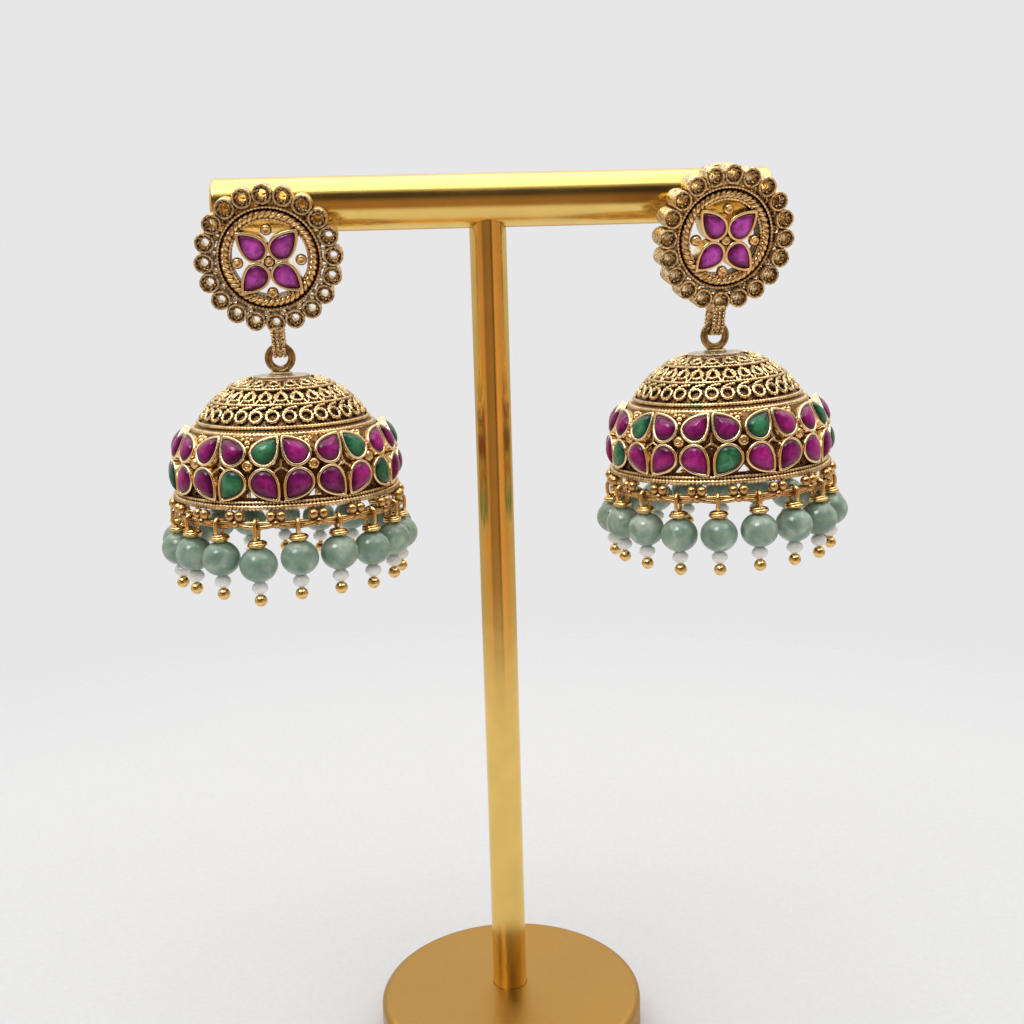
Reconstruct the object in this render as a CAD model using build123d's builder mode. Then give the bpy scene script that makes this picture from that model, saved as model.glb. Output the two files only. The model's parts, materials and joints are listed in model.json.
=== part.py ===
"""A pair of jhumka earrings hanging on a plain T-shaped display stand.

Millimetres, +Z up.  The origin is the centre of the base's underside, and the
earrings face -Y.  Each earring is a round stud pinned through the stand's bar,
and a bell that hangs from the stud by a ring and swings fore and aft.
"""

import os
from collections import namedtuple
from math import asin, cos, hypot, pi, radians, sin

from build123d import *

# ---- driving dimensions: stand ------------------------------------------------
BASE_RADIUS = 21.5
BASE_HEIGHT = 8.0
BASE_EDGE = 1.2
SOCKET_DEPTH = 6.0
SOCKET_CLEARANCE = 0.05
POST_RADIUS = 2.78
POST_Y = 2.0            # the post stands a little behind the base's centre
BAR_RADIUS = 4.0
BAR_LENGTH = 83.0
BAR_CENTRE_X = 1.2
BAR_HEIGHT = 136.2      # of the bar's axis
BAR_END_FILLET = 0.7
SADDLE_CLEARANCE = 0.02
PIN_HOLE_RADIUS = 1.6

# ---- driving dimensions: stud -------------------------------------------------
CUP_COUNT = 20
CUP_CIRCLE = 9.25
CUP_RADIUS = 1.38
CUP_BORE = 0.6
CUP_DEPTH = 3.3
DECK_INNER = 7.25
DECK_OUTER = 8.35
DECK_HEIGHT = 2.4
GROOVE_FLOOR = 1.0
ROPE_INNER = 5.5
ROPE_OUTER = 6.8
ROPE_HEIGHT = 2.8
PETAL_HEAD = 1.95
PETAL_HEAD_CENTRE = 2.72
PETAL_TIP = 6.25
PETAL_BASE = 0.6
PETAL_TOP = 3.1
PETAL_FLOOR = 1.7
PETAL_STONE_TOP = 3.4
STUD_BALL = 0.8
STUD_BALL_CIRCLE = 4.75
STUD_BALL_HEIGHT = 2.3

# ---- driving dimensions: link -------------------------------------------------
PIVOT_DROP = 13.1       # from the stud's centre down to the ring's top wire
RING_WIRE = 0.55
RING_CIRCLE = 1.72
BAIL_HALF_WIDTH = 0.8   # the bail is a loop of flattened wire
BAIL_HALF_THICKNESS = 0.4
BAIL_SLOT = 0.83        # radius of the loop's inside
BAIL_PLAY = 0.13        # between the ring's wire and the loop's floor
BAIL_ROOT = 9.9         # where the bail runs into the lowest cup

# ---- driving dimensions: bell, heights above the rim --------------------------
PIVOT_HEIGHT = 21.2
WALL = 0.8
RIM_CIRCLE = 16.45
RIM_WIRE = 0.55
BAND_RADIUS = 16.1
BAND_FOOT = -0.3        # lower edge of the wall
BAND_BOTTOM = 0.3       # where distances up the band's surface start
BAND_STRAIGHT = 4.0     # above this height the band turns inwards
BAND_ROUND = 7.72
CROWN_HEIGHT = 10.45    # where the band ends and the filigree dome starts
CROWN_WIRE = 0.5
DOME_MIDDLE = (8.96, 14.6)
DOME_INWARD = (-0.6, -0.8)
CAP_RADIUS = 4.05
CAP_HEIGHT = 16.85
CAP_THICKNESS = 0.5
CAP_PROUD = 0.05
COLLAR_RADIUS = 1.65
COLLAR_HEIGHT = 0.6

# ---- driving dimensions: stones of the band -----------------------------------
DIAMOND_COUNT = 11      # groups of four drop-shaped stones round the band
BEZEL_WALL = 0.35
BEZEL_ROOT = 0.5
BEZEL_HEIGHT = 0.75
STONE_FLOOR = 0.1
STONE_HEIGHT = 1.0
STONE_CLEARANCE = 0.05
BAND_BALL = 0.85
BAND_BALL_ALONG = 5.4   # distance up the band's surface
WINDOW = 1.3            # square opening in the middle of a diamond
WINDOW_ALONG = 5.2
EYELET = 0.55           # round opening between two diamonds, above the rim
EYELET_ALONG = 1.25

# ---- driving dimensions: gallery and drops ------------------------------------
DROP_COUNT = 18
PAIR_BALL = 0.75
PAIR_SPREAD = 0.72
PAIR_Z = -1.24          # the pair just clears the rim's wire
LOW_BALL = 0.65
RAIL_CIRCLE = 16.9      # through the low balls, which straight rods join
RAIL_WIRE = 0.35
RAIL_Z = -2.38
RAIL_START = 0.3        # a rod starts this far inside its ball
LOOP_WIRE = 0.28
LOOP_HALF_WIDTH = 0.83
LOOP_CLEARANCE = 0.05
LOOP_DROP = 2.45        # between the loop's upper and lower bends
WRAP_RADIUS = 1.3
WRAP_HEIGHT = 0.95
PIN_RADIUS = 0.3
BORE_RADIUS = 0.4
BEAD_RADIUS = 2.68
BEAD_HEIGHT = 4.7
PEARL_RADIUS = 1.2
PEARL_HEIGHT = 1.75
BEAD_CROWN = 1.06       # the bored ends are ground flat by this much
THREAD_GAP = 0.08       # between neighbours on a pin
END_BALL = 0.9

# ---- driving dimensions: ear post and nut -------------------------------------
EAR_POST_RADIUS = 0.45
EAR_POST_END = 11.5     # behind the bar's axis
NUT_FRONT = 4.25        # behind the bar's axis
NUT_RADIUS = 2.65
NUT_THICKNESS = 1.1
NUT_NECK_RADIUS = 1.2
NUT_NECK = 1.6
NUT_CLEARANCE = 0.05

# ---- where each earring hangs -------------------------------------------------
# stud_*: the centre of the stud's back.  tilt: the face looks down.  yaw: it
# looks towards +X.  roll: the stud is turned in its own plane.  lean: the
# bell's foot swings out towards +X.  *_phase: degrees round the bell's axis.
Side = namedtuple(
    "Side",
    "name stud_x stud_y stud_z tilt yaw roll lean"
    " pin_x pin_rise hole_rise diamond_phase cluster_phase upper lower lengths",
)
SIDES = (
    Side(
        "left", -31.65, -1.05, 128.85, 11.0, 1.0, 1.8, 0.0, -31.9, -0.2, 0.0, 2.0, -1.6,
        upper="GR RG RR GR RR RG RR GR RR RR RR",
        lower="RR RR GR RR RG RR GR RR RR GR RG",
        lengths=(0.0, -0.1, 0.3, 0.1, 0.4, -0.2, 0.2, 0.0, 0.5,
                 0.1, 0.4, -0.1, 0.3, 0.0, 0.2, 0.0, 0.1, 0.8),
    ),
    Side(
        "right", 33.95, -2.30, 130.15, 12.0, 9.0, -1.0, 2.3, 36.1, 1.4, 1.35, 6.6, 6.4,
        upper="GR RG RR RR GR RR RG RR RR GR RR",
        lower="RR RR GR RR RR GR RR RG RG RR RG",
        lengths=(0.0, 0.1, -0.1, 0.3, 0.1, 0.4, 0.0, 0.2, -0.1,
                 0.3, 0.0, 0.4, 0.2, 0.0, 0.1, 0.4, 0.3, 0.0),
    ),
)

# one stone of a diamond: which row, head radius, length, sideways place of its
# head, and places up the band's surface of its head and its tip
Stone = namedtuple("Stone", "row head along_head along_tip out_head out_tip")
STONES = (
    Stone("upper", 2.0, 7.0, 9.55, 2.2, 0.3),
    Stone("lower", 2.1, 3.1, 0.45, 2.4, 0.3),
)

FRONT = -90             # direction of azimuth 0 round a bell


def save(piece, name):
    """Label one finished piece and write it."""
    piece.part.label = name
    export_step(piece.part, f"parts/{name}.step")
    size = piece.part.bounding_box().size
    print(f"{name}: {size.X:.1f} x {size.Y:.1f} x {size.Z:.1f} mm")


def save_placed(shape, place, name):
    """Write a copy of a shape, set at its place on the stand."""
    with BuildPart() as piece:
        with Locations(place):
            add(shape.part)
    save(piece, name)


def teardrop(head, reach, inset=0.0):
    """A drop outline: round head at the origin, tip towards +Y."""
    turn = asin(head / reach)
    side = Vector(head * cos(turn), head * sin(turn))
    tip = Vector(0, reach)
    bulge = (side + tip) / 2 + Vector(cos(turn), sin(turn)) * (0.1 * head)
    with BuildSketch() as outline:
        with BuildLine():
            ThreePointArc(side, bulge, tip)
            ThreePointArc(tip, (-bulge.X, bulge.Y), (-side.X, side.Y))
            ThreePointArc((-side.X, side.Y), (0, -head), side)
        make_face()
        if inset:
            offset(amount=-inset, kind=Kind.INTERSECTION, mode=Mode.REPLACE)
    return outline.sketch


# ---- stand --------------------------------------------------------------------
def make_stand():
    with BuildPart() as base:
        Cylinder(BASE_RADIUS, BASE_HEIGHT, align=(Align.CENTER, Align.CENTER, Align.MIN))
        fillet(base.edges().group_by(Axis.Z)[-1], radius=BASE_EDGE)
        chamfer(base.edges().group_by(Axis.Z)[0], length=BASE_EDGE / 3)
        with Locations((0, POST_Y, BASE_HEIGHT)):
            Hole(POST_RADIUS + SOCKET_CLEARANCE, depth=SOCKET_DEPTH)
    save(base, "stand_base")

    foot = BASE_HEIGHT - SOCKET_DEPTH
    with BuildPart() as post:
        with BuildSketch(Plane.XY.offset(foot)):
            with Locations((0, POST_Y)):
                Circle(POST_RADIUS)
        extrude(amount=BAR_HEIGHT - foot)
        with BuildSketch(Plane.YZ):
            with Locations((POST_Y, BAR_HEIGHT)):
                Circle(BAR_RADIUS + SADDLE_CLEARANCE)
        extrude(amount=BAR_RADIUS, both=True, mode=Mode.SUBTRACT)
    save(post, "stand_post")

    bar_start = BAR_CENTRE_X - BAR_LENGTH / 2
    with BuildPart() as bar:
        with BuildSketch(Plane.YZ.offset(bar_start)):
            with Locations((POST_Y, BAR_HEIGHT)):
                Circle(BAR_RADIUS)
        extrude(amount=BAR_LENGTH)
        fillet(bar.edges().filter_by(GeomType.CIRCLE), radius=BAR_END_FILLET)
        for side in SIDES:
            with BuildSketch(Plane.XZ.offset(-POST_Y)):
                with Locations((side.pin_x, BAR_HEIGHT + side.hole_rise)):
                    Circle(PIN_HOLE_RADIUS)
            extrude(amount=BAR_RADIUS, both=True, mode=Mode.SUBTRACT)
    save(bar, "stand_bar")


# ---- stud, in its own frame: +Z out of the face, +Y up ------------------------
def petal_frames():
    """Planes at the heads of the four petals, tips outwards on the diagonals."""
    frames = []
    for angle in (45, 135, 225, 315):
        along = Vector(cos(radians(angle)), sin(radians(angle)))
        x_dir = Vector(along.Y, -along.X)
        frames.append(Plane(along * PETAL_HEAD_CENTRE, x_dir=x_dir, z_dir=(0, 0, 1)))
    return frames


def make_stud_shape():
    reach = PETAL_TIP - PETAL_HEAD_CENTRE
    bezel = teardrop(PETAL_HEAD, reach)
    pocket = teardrop(PETAL_HEAD, reach, BEZEL_WALL)
    with BuildPart() as stud:
        with BuildSketch():
            Circle(DECK_OUTER)
            Circle(ROPE_INNER, mode=Mode.SUBTRACT)
        extrude(amount=GROOVE_FLOOR)
        for inner, outer, height in (
            (DECK_INNER, DECK_OUTER, DECK_HEIGHT),
            (ROPE_INNER, ROPE_OUTER, ROPE_HEIGHT),
        ):
            with BuildSketch():
                Circle(outer)
                Circle(inner, mode=Mode.SUBTRACT)
            extrude(amount=height)
        with BuildSketch():
            with PolarLocations(CUP_CIRCLE, CUP_COUNT, start_angle=90):
                Circle(CUP_RADIUS)
        extrude(amount=CUP_DEPTH)
        with BuildSketch():
            with PolarLocations(CUP_CIRCLE, CUP_COUNT, start_angle=90):
                Circle(CUP_BORE)
        extrude(amount=CUP_DEPTH, mode=Mode.SUBTRACT)
        for frame in petal_frames():
            with BuildSketch(frame.offset(PETAL_BASE)):
                add(bezel)
            extrude(amount=PETAL_TOP - PETAL_BASE)
        for frame in petal_frames():
            with BuildSketch(frame.offset(PETAL_FLOOR)):
                add(pocket)
            extrude(amount=PETAL_TOP, mode=Mode.SUBTRACT)
        with Locations((0, 0, STUD_BALL_HEIGHT)):
            Sphere(STUD_BALL)
            with PolarLocations(STUD_BALL_CIRCLE, 4):
                Sphere(STUD_BALL)
        # the bail: a U of flattened wire in the YZ plane that carries the ring
        middle = CUP_DEPTH / 2
        bend = -(PIVOT_DROP + RING_WIRE + BAIL_PLAY - BAIL_SLOT)
        half_gap = BAIL_SLOT + BAIL_HALF_THICKNESS
        with BuildSketch(Plane.XZ.offset(-bend)):
            with Locations((0, middle - half_gap)):
                Ellipse(BAIL_HALF_WIDTH, BAIL_HALF_THICKNESS)
        revolve(axis=Axis((0, bend, middle), (1, 0, 0)), revolution_arc=180)
        with BuildSketch(Plane.XZ.offset(-bend)):
            with Locations((0, middle - half_gap), (0, middle + half_gap)):
                Ellipse(BAIL_HALF_WIDTH, BAIL_HALF_THICKNESS)
        extrude(amount=bend + BAIL_ROOT)
    return stud


def make_stud_stones():
    stone = teardrop(PETAL_HEAD, PETAL_TIP - PETAL_HEAD_CENTRE, BEZEL_WALL + STONE_CLEARANCE)
    with BuildPart() as stones:
        for frame in petal_frames():
            with BuildSketch(frame.offset(PETAL_FLOOR)):
                add(stone)
            extrude(amount=PETAL_STONE_TOP - PETAL_FLOOR)
    return stones


# ---- bell, in its own frame: +Z up its axis, rim at zero ----------------------
BAND_UPRIGHT = BAND_STRAIGHT - BAND_BOTTOM
BAND_INSET = BAND_RADIUS - BAND_ROUND


def band_frame(along, out=0.0):
    """A plane on the band's surface: +Z outwards, +Y up, out to the side."""
    slope = max(0.0, along - BAND_UPRIGHT) / BAND_ROUND
    radius = BAND_INSET + BAND_ROUND * cos(slope)
    height = BAND_BOTTOM + min(along, BAND_UPRIGHT) + BAND_ROUND * sin(slope)
    angle = radians(FRONT) + out / radius
    radial = Vector(cos(angle), sin(angle), 0)
    return Plane(
        radial * radius + Vector(0, 0, height),
        x_dir=(-sin(angle), cos(angle), 0),
        z_dir=radial * cos(slope) + Vector(0, 0, sin(slope)),
    )


def stone_frame(stone, side):
    """The plane of a band stone's head, +Y towards its tip."""
    head = band_frame(stone.along_head, side * stone.out_head)
    towards = head.x_dir * side * (stone.out_tip - stone.out_head)
    towards += head.y_dir * (stone.along_tip - stone.along_head)
    return Plane(head.origin, x_dir=towards.cross(head.z_dir), z_dir=head.z_dir)


def stone_reach(stone):
    return hypot(stone.out_head - stone.out_tip, stone.along_tip - stone.along_head)


def make_bell_wall():
    crown = asin((CROWN_HEIGHT - BAND_STRAIGHT) / BAND_ROUND)
    centre = Vector(BAND_INSET, BAND_STRAIGHT)

    def skin(depth):
        """Outline from the foot of the wall to the axis, a depth inside it."""
        radius = BAND_ROUND - depth
        halfway = centre + Vector(cos(crown / 2), sin(crown / 2)) * radius
        shoulder = centre + Vector(cos(crown), sin(crown)) * radius
        middle = Vector(*DOME_MIDDLE) + Vector(*DOME_INWARD) * depth
        with BuildSketch() as region:
            with BuildLine():
                Polyline((0, BAND_FOOT), (BAND_RADIUS - depth, BAND_FOOT),
                         (BAND_RADIUS - depth, BAND_STRAIGHT))
                ThreePointArc((BAND_RADIUS - depth, BAND_STRAIGHT), halfway, shoulder)
                ThreePointArc(shoulder, middle, (CAP_RADIUS, CAP_HEIGHT - depth))
                Polyline((CAP_RADIUS, CAP_HEIGHT - depth), (0, CAP_HEIGHT - depth), (0, BAND_FOOT))
            make_face()
        return region.sketch

    outer, inner = skin(0), skin(WALL)
    crown_circle = BAND_INSET + BAND_ROUND * cos(crown)
    with BuildPart() as wall:
        with BuildSketch(Plane.XZ):
            add(outer)
            add(inner, mode=Mode.SUBTRACT)
        revolve(axis=Axis.Z)
        for radius, height, wire in (
            (RIM_CIRCLE, 0, RIM_WIRE),
            (crown_circle + CROWN_WIRE / 4, CROWN_HEIGHT, CROWN_WIRE),
        ):
            with Locations((0, 0, height)):
                Torus(radius, wire)
        with BuildSketch(Plane.XY.offset(CAP_HEIGHT + CAP_PROUD)):
            Circle(CAP_RADIUS + CAP_PROUD)
        extrude(amount=-CAP_THICKNESS)
        with BuildSketch(Plane.XY.offset(CAP_HEIGHT)):
            Circle(COLLAR_RADIUS)
        extrude(amount=COLLAR_HEIGHT)
        with Locations((0, 0, PIVOT_HEIGHT - RING_CIRCLE)):
            Torus(RING_CIRCLE, RING_WIRE, rotation=(90, 0, 0))
    return wall


def make_diamond():
    """The four bezels of one diamond and the ball at its left corner."""
    with BuildPart() as diamond:
        for stone in STONES:
            outline = teardrop(stone.head, stone_reach(stone))
            pocket = teardrop(stone.head, stone_reach(stone), BEZEL_WALL)
            for side in (-1, 1):
                frame = stone_frame(stone, side)
                with BuildSketch(frame.offset(-BEZEL_ROOT)):
                    add(outline)
                extrude(amount=BEZEL_ROOT + BEZEL_HEIGHT)
                with BuildSketch(frame.offset(STONE_FLOOR)):
                    add(pocket)
                extrude(amount=BEZEL_HEIGHT, mode=Mode.SUBTRACT)
        half_pitch = pi * BAND_RADIUS / DIAMOND_COUNT
        with Locations(band_frame(BAND_BALL_ALONG, -half_pitch)):
            Sphere(BAND_BALL)
    return diamond


def make_openings():
    """What one diamond opens in the wall: its middle, and an eyelet beside it."""
    half_pitch = pi * BAND_RADIUS / DIAMOND_COUNT
    with BuildPart() as openings:
        with BuildSketch(band_frame(WINDOW_ALONG)):
            Rectangle(WINDOW, WINDOW, rotation=45)
        extrude(amount=2 * WALL, both=True)
        with BuildSketch(band_frame(EYELET_ALONG, half_pitch)):
            Circle(EYELET)
        extrude(amount=2 * WALL, both=True)
    return openings


def make_cluster():
    """Three soldered balls at azimuth zero, and the rail's rod to the next three."""
    step = 2 * pi / DROP_COUNT
    low = Vector(0, -RAIL_CIRCLE, RAIL_Z)
    next_low = Vector(RAIL_CIRCLE * sin(step), -RAIL_CIRCLE * cos(step), RAIL_Z)
    along = (next_low - low).normalized()
    seam_outside = (0, 0, -90)
    with BuildPart() as cluster:
        with Locations((-PAIR_SPREAD, -RAIL_CIRCLE, PAIR_Z), (PAIR_SPREAD, -RAIL_CIRCLE, PAIR_Z)):
            Sphere(PAIR_BALL, rotation=seam_outside)
        with Locations(low):
            Sphere(LOW_BALL, rotation=seam_outside)
        with BuildSketch(Plane(low + along * RAIL_START, z_dir=along)):
            Circle(RAIL_WIRE)
        extrude(amount=(next_low - low).length - 2 * RAIL_START)
    return cluster


def azimuths(count, phase):
    """Places round a bell's axis, for shapes drawn at azimuth zero."""
    return PolarLocations(0, count, start_angle=phase)


def make_bell(wall, diamond, openings, side):
    with BuildPart() as bell:
        add(wall.part)
        with azimuths(DIAMOND_COUNT, side.diamond_phase):
            add(openings.part, mode=Mode.SUBTRACT)
        with azimuths(DIAMOND_COUNT, side.diamond_phase):
            add(diamond.part)
    return bell


def make_gallery(cluster, side):
    """The clusters of balls under the rim, joined by the rail."""
    with BuildPart() as gallery:
        with azimuths(DROP_COUNT, side.cluster_phase):
            add(cluster.part)
    return gallery


def make_band_stone(stone):
    """One stone of the band, on the floor of its bezel."""
    outline = teardrop(stone.head, stone_reach(stone), BEZEL_WALL + STONE_CLEARANCE)
    with BuildPart() as cabochon:
        with BuildSketch(Plane.XY.offset(STONE_FLOOR)):
            add(outline)
        extrude(amount=STONE_HEIGHT)
    return cabochon


def make_band_stones(side, colour, cabochons):
    """All the band's stones of one colour, as one set."""
    with BuildPart() as stones:
        for stone, pairs in zip(STONES, (side.upper, side.lower)):
            for number, pair in enumerate(pairs.split()):
                turn = Rotation(0, 0, side.diamond_phase + number * 360 / DIAMOND_COUNT)
                for hand, letter in zip((-1, 1), pair):
                    if letter != colour:
                        continue
                    with Locations(turn * stone_frame(stone, hand).location):
                        add(cabochons[stone.row].part)
    return stones


# ---- drops: each hangs from the rail midway between two clusters --------------
BEND_TOP = RAIL_WIRE + LOOP_CLEARANCE + LOOP_WIRE - LOOP_HALF_WIDTH
RAIL_MIDDLE = RAIL_CIRCLE * cos(pi / DROP_COUNT)
Levels = namedtuple("Levels", "bend wrap_foot bead pearl ball")


def drop_levels(length):
    """Heights along one drop, measured from the rail's centre."""
    bend = BEND_TOP + 2 * LOOP_HALF_WIDTH - LOOP_DROP - length
    wrap_foot = bend - LOOP_HALF_WIDTH + LOOP_WIRE / 2 - WRAP_HEIGHT
    bead = wrap_foot - THREAD_GAP - BEAD_HEIGHT / 2
    pearl = bead - BEAD_HEIGHT / 2 - THREAD_GAP - PEARL_HEIGHT / 2
    ball = pearl - PEARL_HEIGHT / 2 - THREAD_GAP - END_BALL
    return Levels(bend, wrap_foot, bead, pearl, ball)


def make_drop_pin(length):
    """Loop over the rail, wrapped neck, pin through the beads and its end ball."""
    levels = drop_levels(length)
    with BuildPart() as pin:
        with BuildSketch(Plane.XY.offset(levels.wrap_foot)):
            Circle(WRAP_RADIUS)
        extrude(amount=WRAP_HEIGHT)
        fillet(pin.edges().filter_by(GeomType.CIRCLE), radius=WRAP_HEIGHT / 3)
        for height, half_turn in ((BEND_TOP, -180), (levels.bend, 180)):
            with BuildSketch(Plane.XY.offset(height)):
                with Locations((LOOP_HALF_WIDTH, 0)):
                    Circle(LOOP_WIRE)
            revolve(axis=Axis((0, 0, height), (0, 1, 0)), revolution_arc=half_turn)
        with BuildSketch(Plane.XY.offset(levels.bend)):
            with Locations((LOOP_HALF_WIDTH, 0), (-LOOP_HALF_WIDTH, 0)):
                Circle(LOOP_WIRE)
        extrude(amount=BEND_TOP - levels.bend)
        with BuildSketch(Plane.XY.offset(levels.ball)):
            Circle(PIN_RADIUS)
        extrude(amount=levels.wrap_foot - levels.ball)
        with Locations((0, 0, levels.ball)):
            Sphere(END_BALL)
    return pin


def make_bored_bead(radius, height, centre):
    """A bead flattened at its two bored ends, on the Z axis."""
    with BuildPart() as bead:
        with BuildSketch(Plane.XZ) as section:
            with Locations((0, centre)):
                Ellipse(radius, height / 2 * BEAD_CROWN)
                Rectangle(2 * radius, height, mode=Mode.INTERSECT)
            with Locations((-radius, centre)):
                Rectangle(2 * radius, 2 * height, mode=Mode.SUBTRACT)
            with Locations((BORE_RADIUS / 2, centre)):
                Rectangle(BORE_RADIUS, 2 * height, mode=Mode.SUBTRACT)
        revolve(axis=Axis.Z)
    return bead


def drop_places(side, bell_place):
    """One frame per drop, +X away from the bell's axis, +Z up."""
    places = []
    for number in range(DROP_COUNT):
        angle = FRONT + side.cluster_phase + (number + 0.5) * 360 / DROP_COUNT
        on_rail = Pos(RAIL_MIDDLE * cos(radians(angle)), RAIL_MIDDLE * sin(radians(angle)), RAIL_Z)
        places.append(bell_place * on_rail * Rotation(0, 0, angle))
    return places


# ---- ear post and nut ---------------------------------------------------------
def make_ear_post(side, stud_place):
    """A plain pin from the stud's back through the bar."""
    behind = Vector(0, cos(radians(side.tilt)), sin(radians(side.tilt)))
    through = Vector(side.pin_x, POST_Y, BAR_HEIGHT + side.pin_rise)
    with BuildPart() as pin:
        with BuildSketch(Plane(through, x_dir=(1, 0, 0), z_dir=behind)):
            Circle(EAR_POST_RADIUS)
        extrude(amount=EAR_POST_END, both=True)
        split(bisect_by=Plane(stud_place), keep=Keep.BOTTOM)
    save(pin, f"{side.name}_ear_post")
    with BuildPart() as nut:
        start = Plane(through + behind * NUT_FRONT, x_dir=(1, 0, 0), z_dir=behind)
        with BuildSketch(start):
            Circle(NUT_RADIUS)
        extrude(amount=NUT_THICKNESS)
        fillet(nut.edges(), radius=NUT_THICKNESS / 3)
        with BuildSketch(start.offset(NUT_THICKNESS)):
            Circle(NUT_NECK_RADIUS)
        extrude(amount=NUT_NECK)
        with BuildSketch(start):
            Circle(EAR_POST_RADIUS + NUT_CLEARANCE)
        extrude(amount=NUT_THICKNESS + NUT_NECK, mode=Mode.SUBTRACT)
    save(nut, f"{side.name}_ear_nut")


def side_places(side):
    """The stud's frame, and the bell's frame below the ring it hangs from."""
    tilt, yaw = radians(side.tilt), radians(side.yaw)
    across = Vector(cos(yaw), sin(yaw), 0)
    face = Vector(sin(yaw) * cos(tilt), -cos(yaw) * cos(tilt), -sin(tilt))
    stud = Plane((side.stud_x, side.stud_y, side.stud_z), x_dir=across, z_dir=face)
    stud = stud.rotated((0, 0, side.roll))
    pivot = stud.from_local_coords((0, -PIVOT_DROP, CUP_DEPTH / 2))
    lean = radians(side.lean)
    down = across * sin(lean) - Vector(0, 0, cos(lean))
    bell_x = across * cos(lean) + Vector(0, 0, sin(lean))
    bell = Plane(pivot + down * PIVOT_HEIGHT, x_dir=bell_x, z_dir=-down)
    print(f"{side.name} pivot {pivot}, swing axis {across}")
    return stud.location, bell.location


def main():
    os.makedirs("parts", exist_ok=True)
    make_stand()
    stud, stud_stones = make_stud_shape(), make_stud_stones()
    wall, diamond = make_bell_wall(), make_diamond()
    openings, cluster = make_openings(), make_cluster()
    cabochons = {stone.row: make_band_stone(stone) for stone in STONES}
    for side in SIDES:
        stud_place, bell_place = side_places(side)
        save_placed(stud, stud_place, f"{side.name}_stud")
        save_placed(stud_stones, stud_place, f"{side.name}_stud_rubies")
        make_ear_post(side, stud_place)
        bell = make_bell(wall, diamond, openings, side)
        save_placed(bell, bell_place, f"{side.name}_bell")
        save_placed(make_gallery(cluster, side), bell_place, f"{side.name}_gallery")
        for colour, label in (("R", "band_rubies"), ("G", "band_emeralds")):
            save_placed(make_band_stones(side, colour, cabochons), bell_place, f"{side.name}_{label}")

        pins, beads, pearls = {}, {}, {}
        for length in set(side.lengths):
            levels = drop_levels(length)
            pins[length] = make_drop_pin(length)
            beads[length] = make_bored_bead(BEAD_RADIUS, BEAD_HEIGHT, levels.bead)
            pearls[length] = make_bored_bead(PEARL_RADIUS, PEARL_HEIGHT, levels.pearl)
        places = list(zip(drop_places(side, bell_place), side.lengths))
        for shapes, label in ((pins, "drop_pins"), (pearls, "seed_pearls")):
            with BuildPart() as strung:
                for place, length in places:
                    with Locations(place):
                        add(shapes[length].part)
            save(strung, f"{side.name}_{label}")
        for number, (place, length) in enumerate(places, start=1):
            save_placed(beads[length], place, f"{side.name}_jade_bead_{number:02d}")


main()
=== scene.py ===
# %% [markdown]
# # A pair of jhumka earrings on their stand
#
# Each earring is a round stud with a flower of four stones, and under it a bell
# that swings on a ring.  The bell has a filigree dome, a band of set stones, a
# gallery of soldered balls and a fringe of jade drops.
#
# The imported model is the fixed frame.  Everything below is modelled on a bench
# of its own, in millimetres, round the piece's own axis, and is then copied to
# its place on the stand, where one unit is a metre.

import json
import math
import random

import bpy
from mathutils import Matrix, Vector, kdtree


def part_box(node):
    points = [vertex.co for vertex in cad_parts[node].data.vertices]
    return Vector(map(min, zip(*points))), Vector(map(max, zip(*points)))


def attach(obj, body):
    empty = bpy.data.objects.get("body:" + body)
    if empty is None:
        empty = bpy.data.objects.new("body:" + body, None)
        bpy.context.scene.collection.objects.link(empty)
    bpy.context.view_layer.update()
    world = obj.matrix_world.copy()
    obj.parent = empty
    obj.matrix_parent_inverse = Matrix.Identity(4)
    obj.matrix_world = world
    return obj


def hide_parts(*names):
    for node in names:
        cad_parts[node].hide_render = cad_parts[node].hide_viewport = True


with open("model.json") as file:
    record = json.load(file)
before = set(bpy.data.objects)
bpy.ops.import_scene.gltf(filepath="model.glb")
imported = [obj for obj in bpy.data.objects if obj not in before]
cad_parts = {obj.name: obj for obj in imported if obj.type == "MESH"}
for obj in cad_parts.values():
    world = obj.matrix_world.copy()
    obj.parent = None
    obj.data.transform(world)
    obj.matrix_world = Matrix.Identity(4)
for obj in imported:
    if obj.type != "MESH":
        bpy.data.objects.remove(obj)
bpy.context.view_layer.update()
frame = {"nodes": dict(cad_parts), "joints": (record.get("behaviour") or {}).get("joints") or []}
bpy.ops.object.select_all(action="DESELECT")
MM = 0.001
TO_METRES = Matrix.Scale(MM, 4)
Z_AXIS = Vector((0, 0, 1))
print("nodes in the frame:", len(frame["nodes"]))

# %% [markdown]
# ## Where the earrings hang
#
# A hinge in the frame gives the point where a bell's ring hangs and the line it
# swings about.  The axis of the bell runs from there to the middle of its beads.
# The stud's centre lies a known way from the same point, in the stud's own frame.
# The letters are the red and green stones of the band, a pair at a time.

# %% The places of both earrings
PIVOT_DROP = 13.1  # from the stud's centre down to the ring's top wire
CUP_DEPTH = 3.3
PIVOT_HEIGHT = 21.2  # of the ring's top wire above the bell's rim
DROPS = 18
DIAMONDS = 11
SIDES = {
    "left": {
        "tilt": 11.0,
        "roll": 1.8,
        "diamond_phase": 2.0,
        "upper": "GR RG RR GR RR RG RR GR RR RR RR",
        "lower": "RR RR GR RR RG RR GR RR RR GR RG",
    },
    "right": {
        "tilt": 12.0,
        "roll": -1.0,
        "diamond_phase": 6.6,
        "upper": "GR RG RR RR GR RR RG RR RR GR RR",
        "lower": "RR RR GR RR RR GR RR RG RG RR RG",
    },
}


def facing(x, y, z, origin):
    """A place whose own axes run along the directions x, y and z."""
    return Matrix.Translation(origin) @ Matrix((x, y, z)).transposed().to_4x4()


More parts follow.
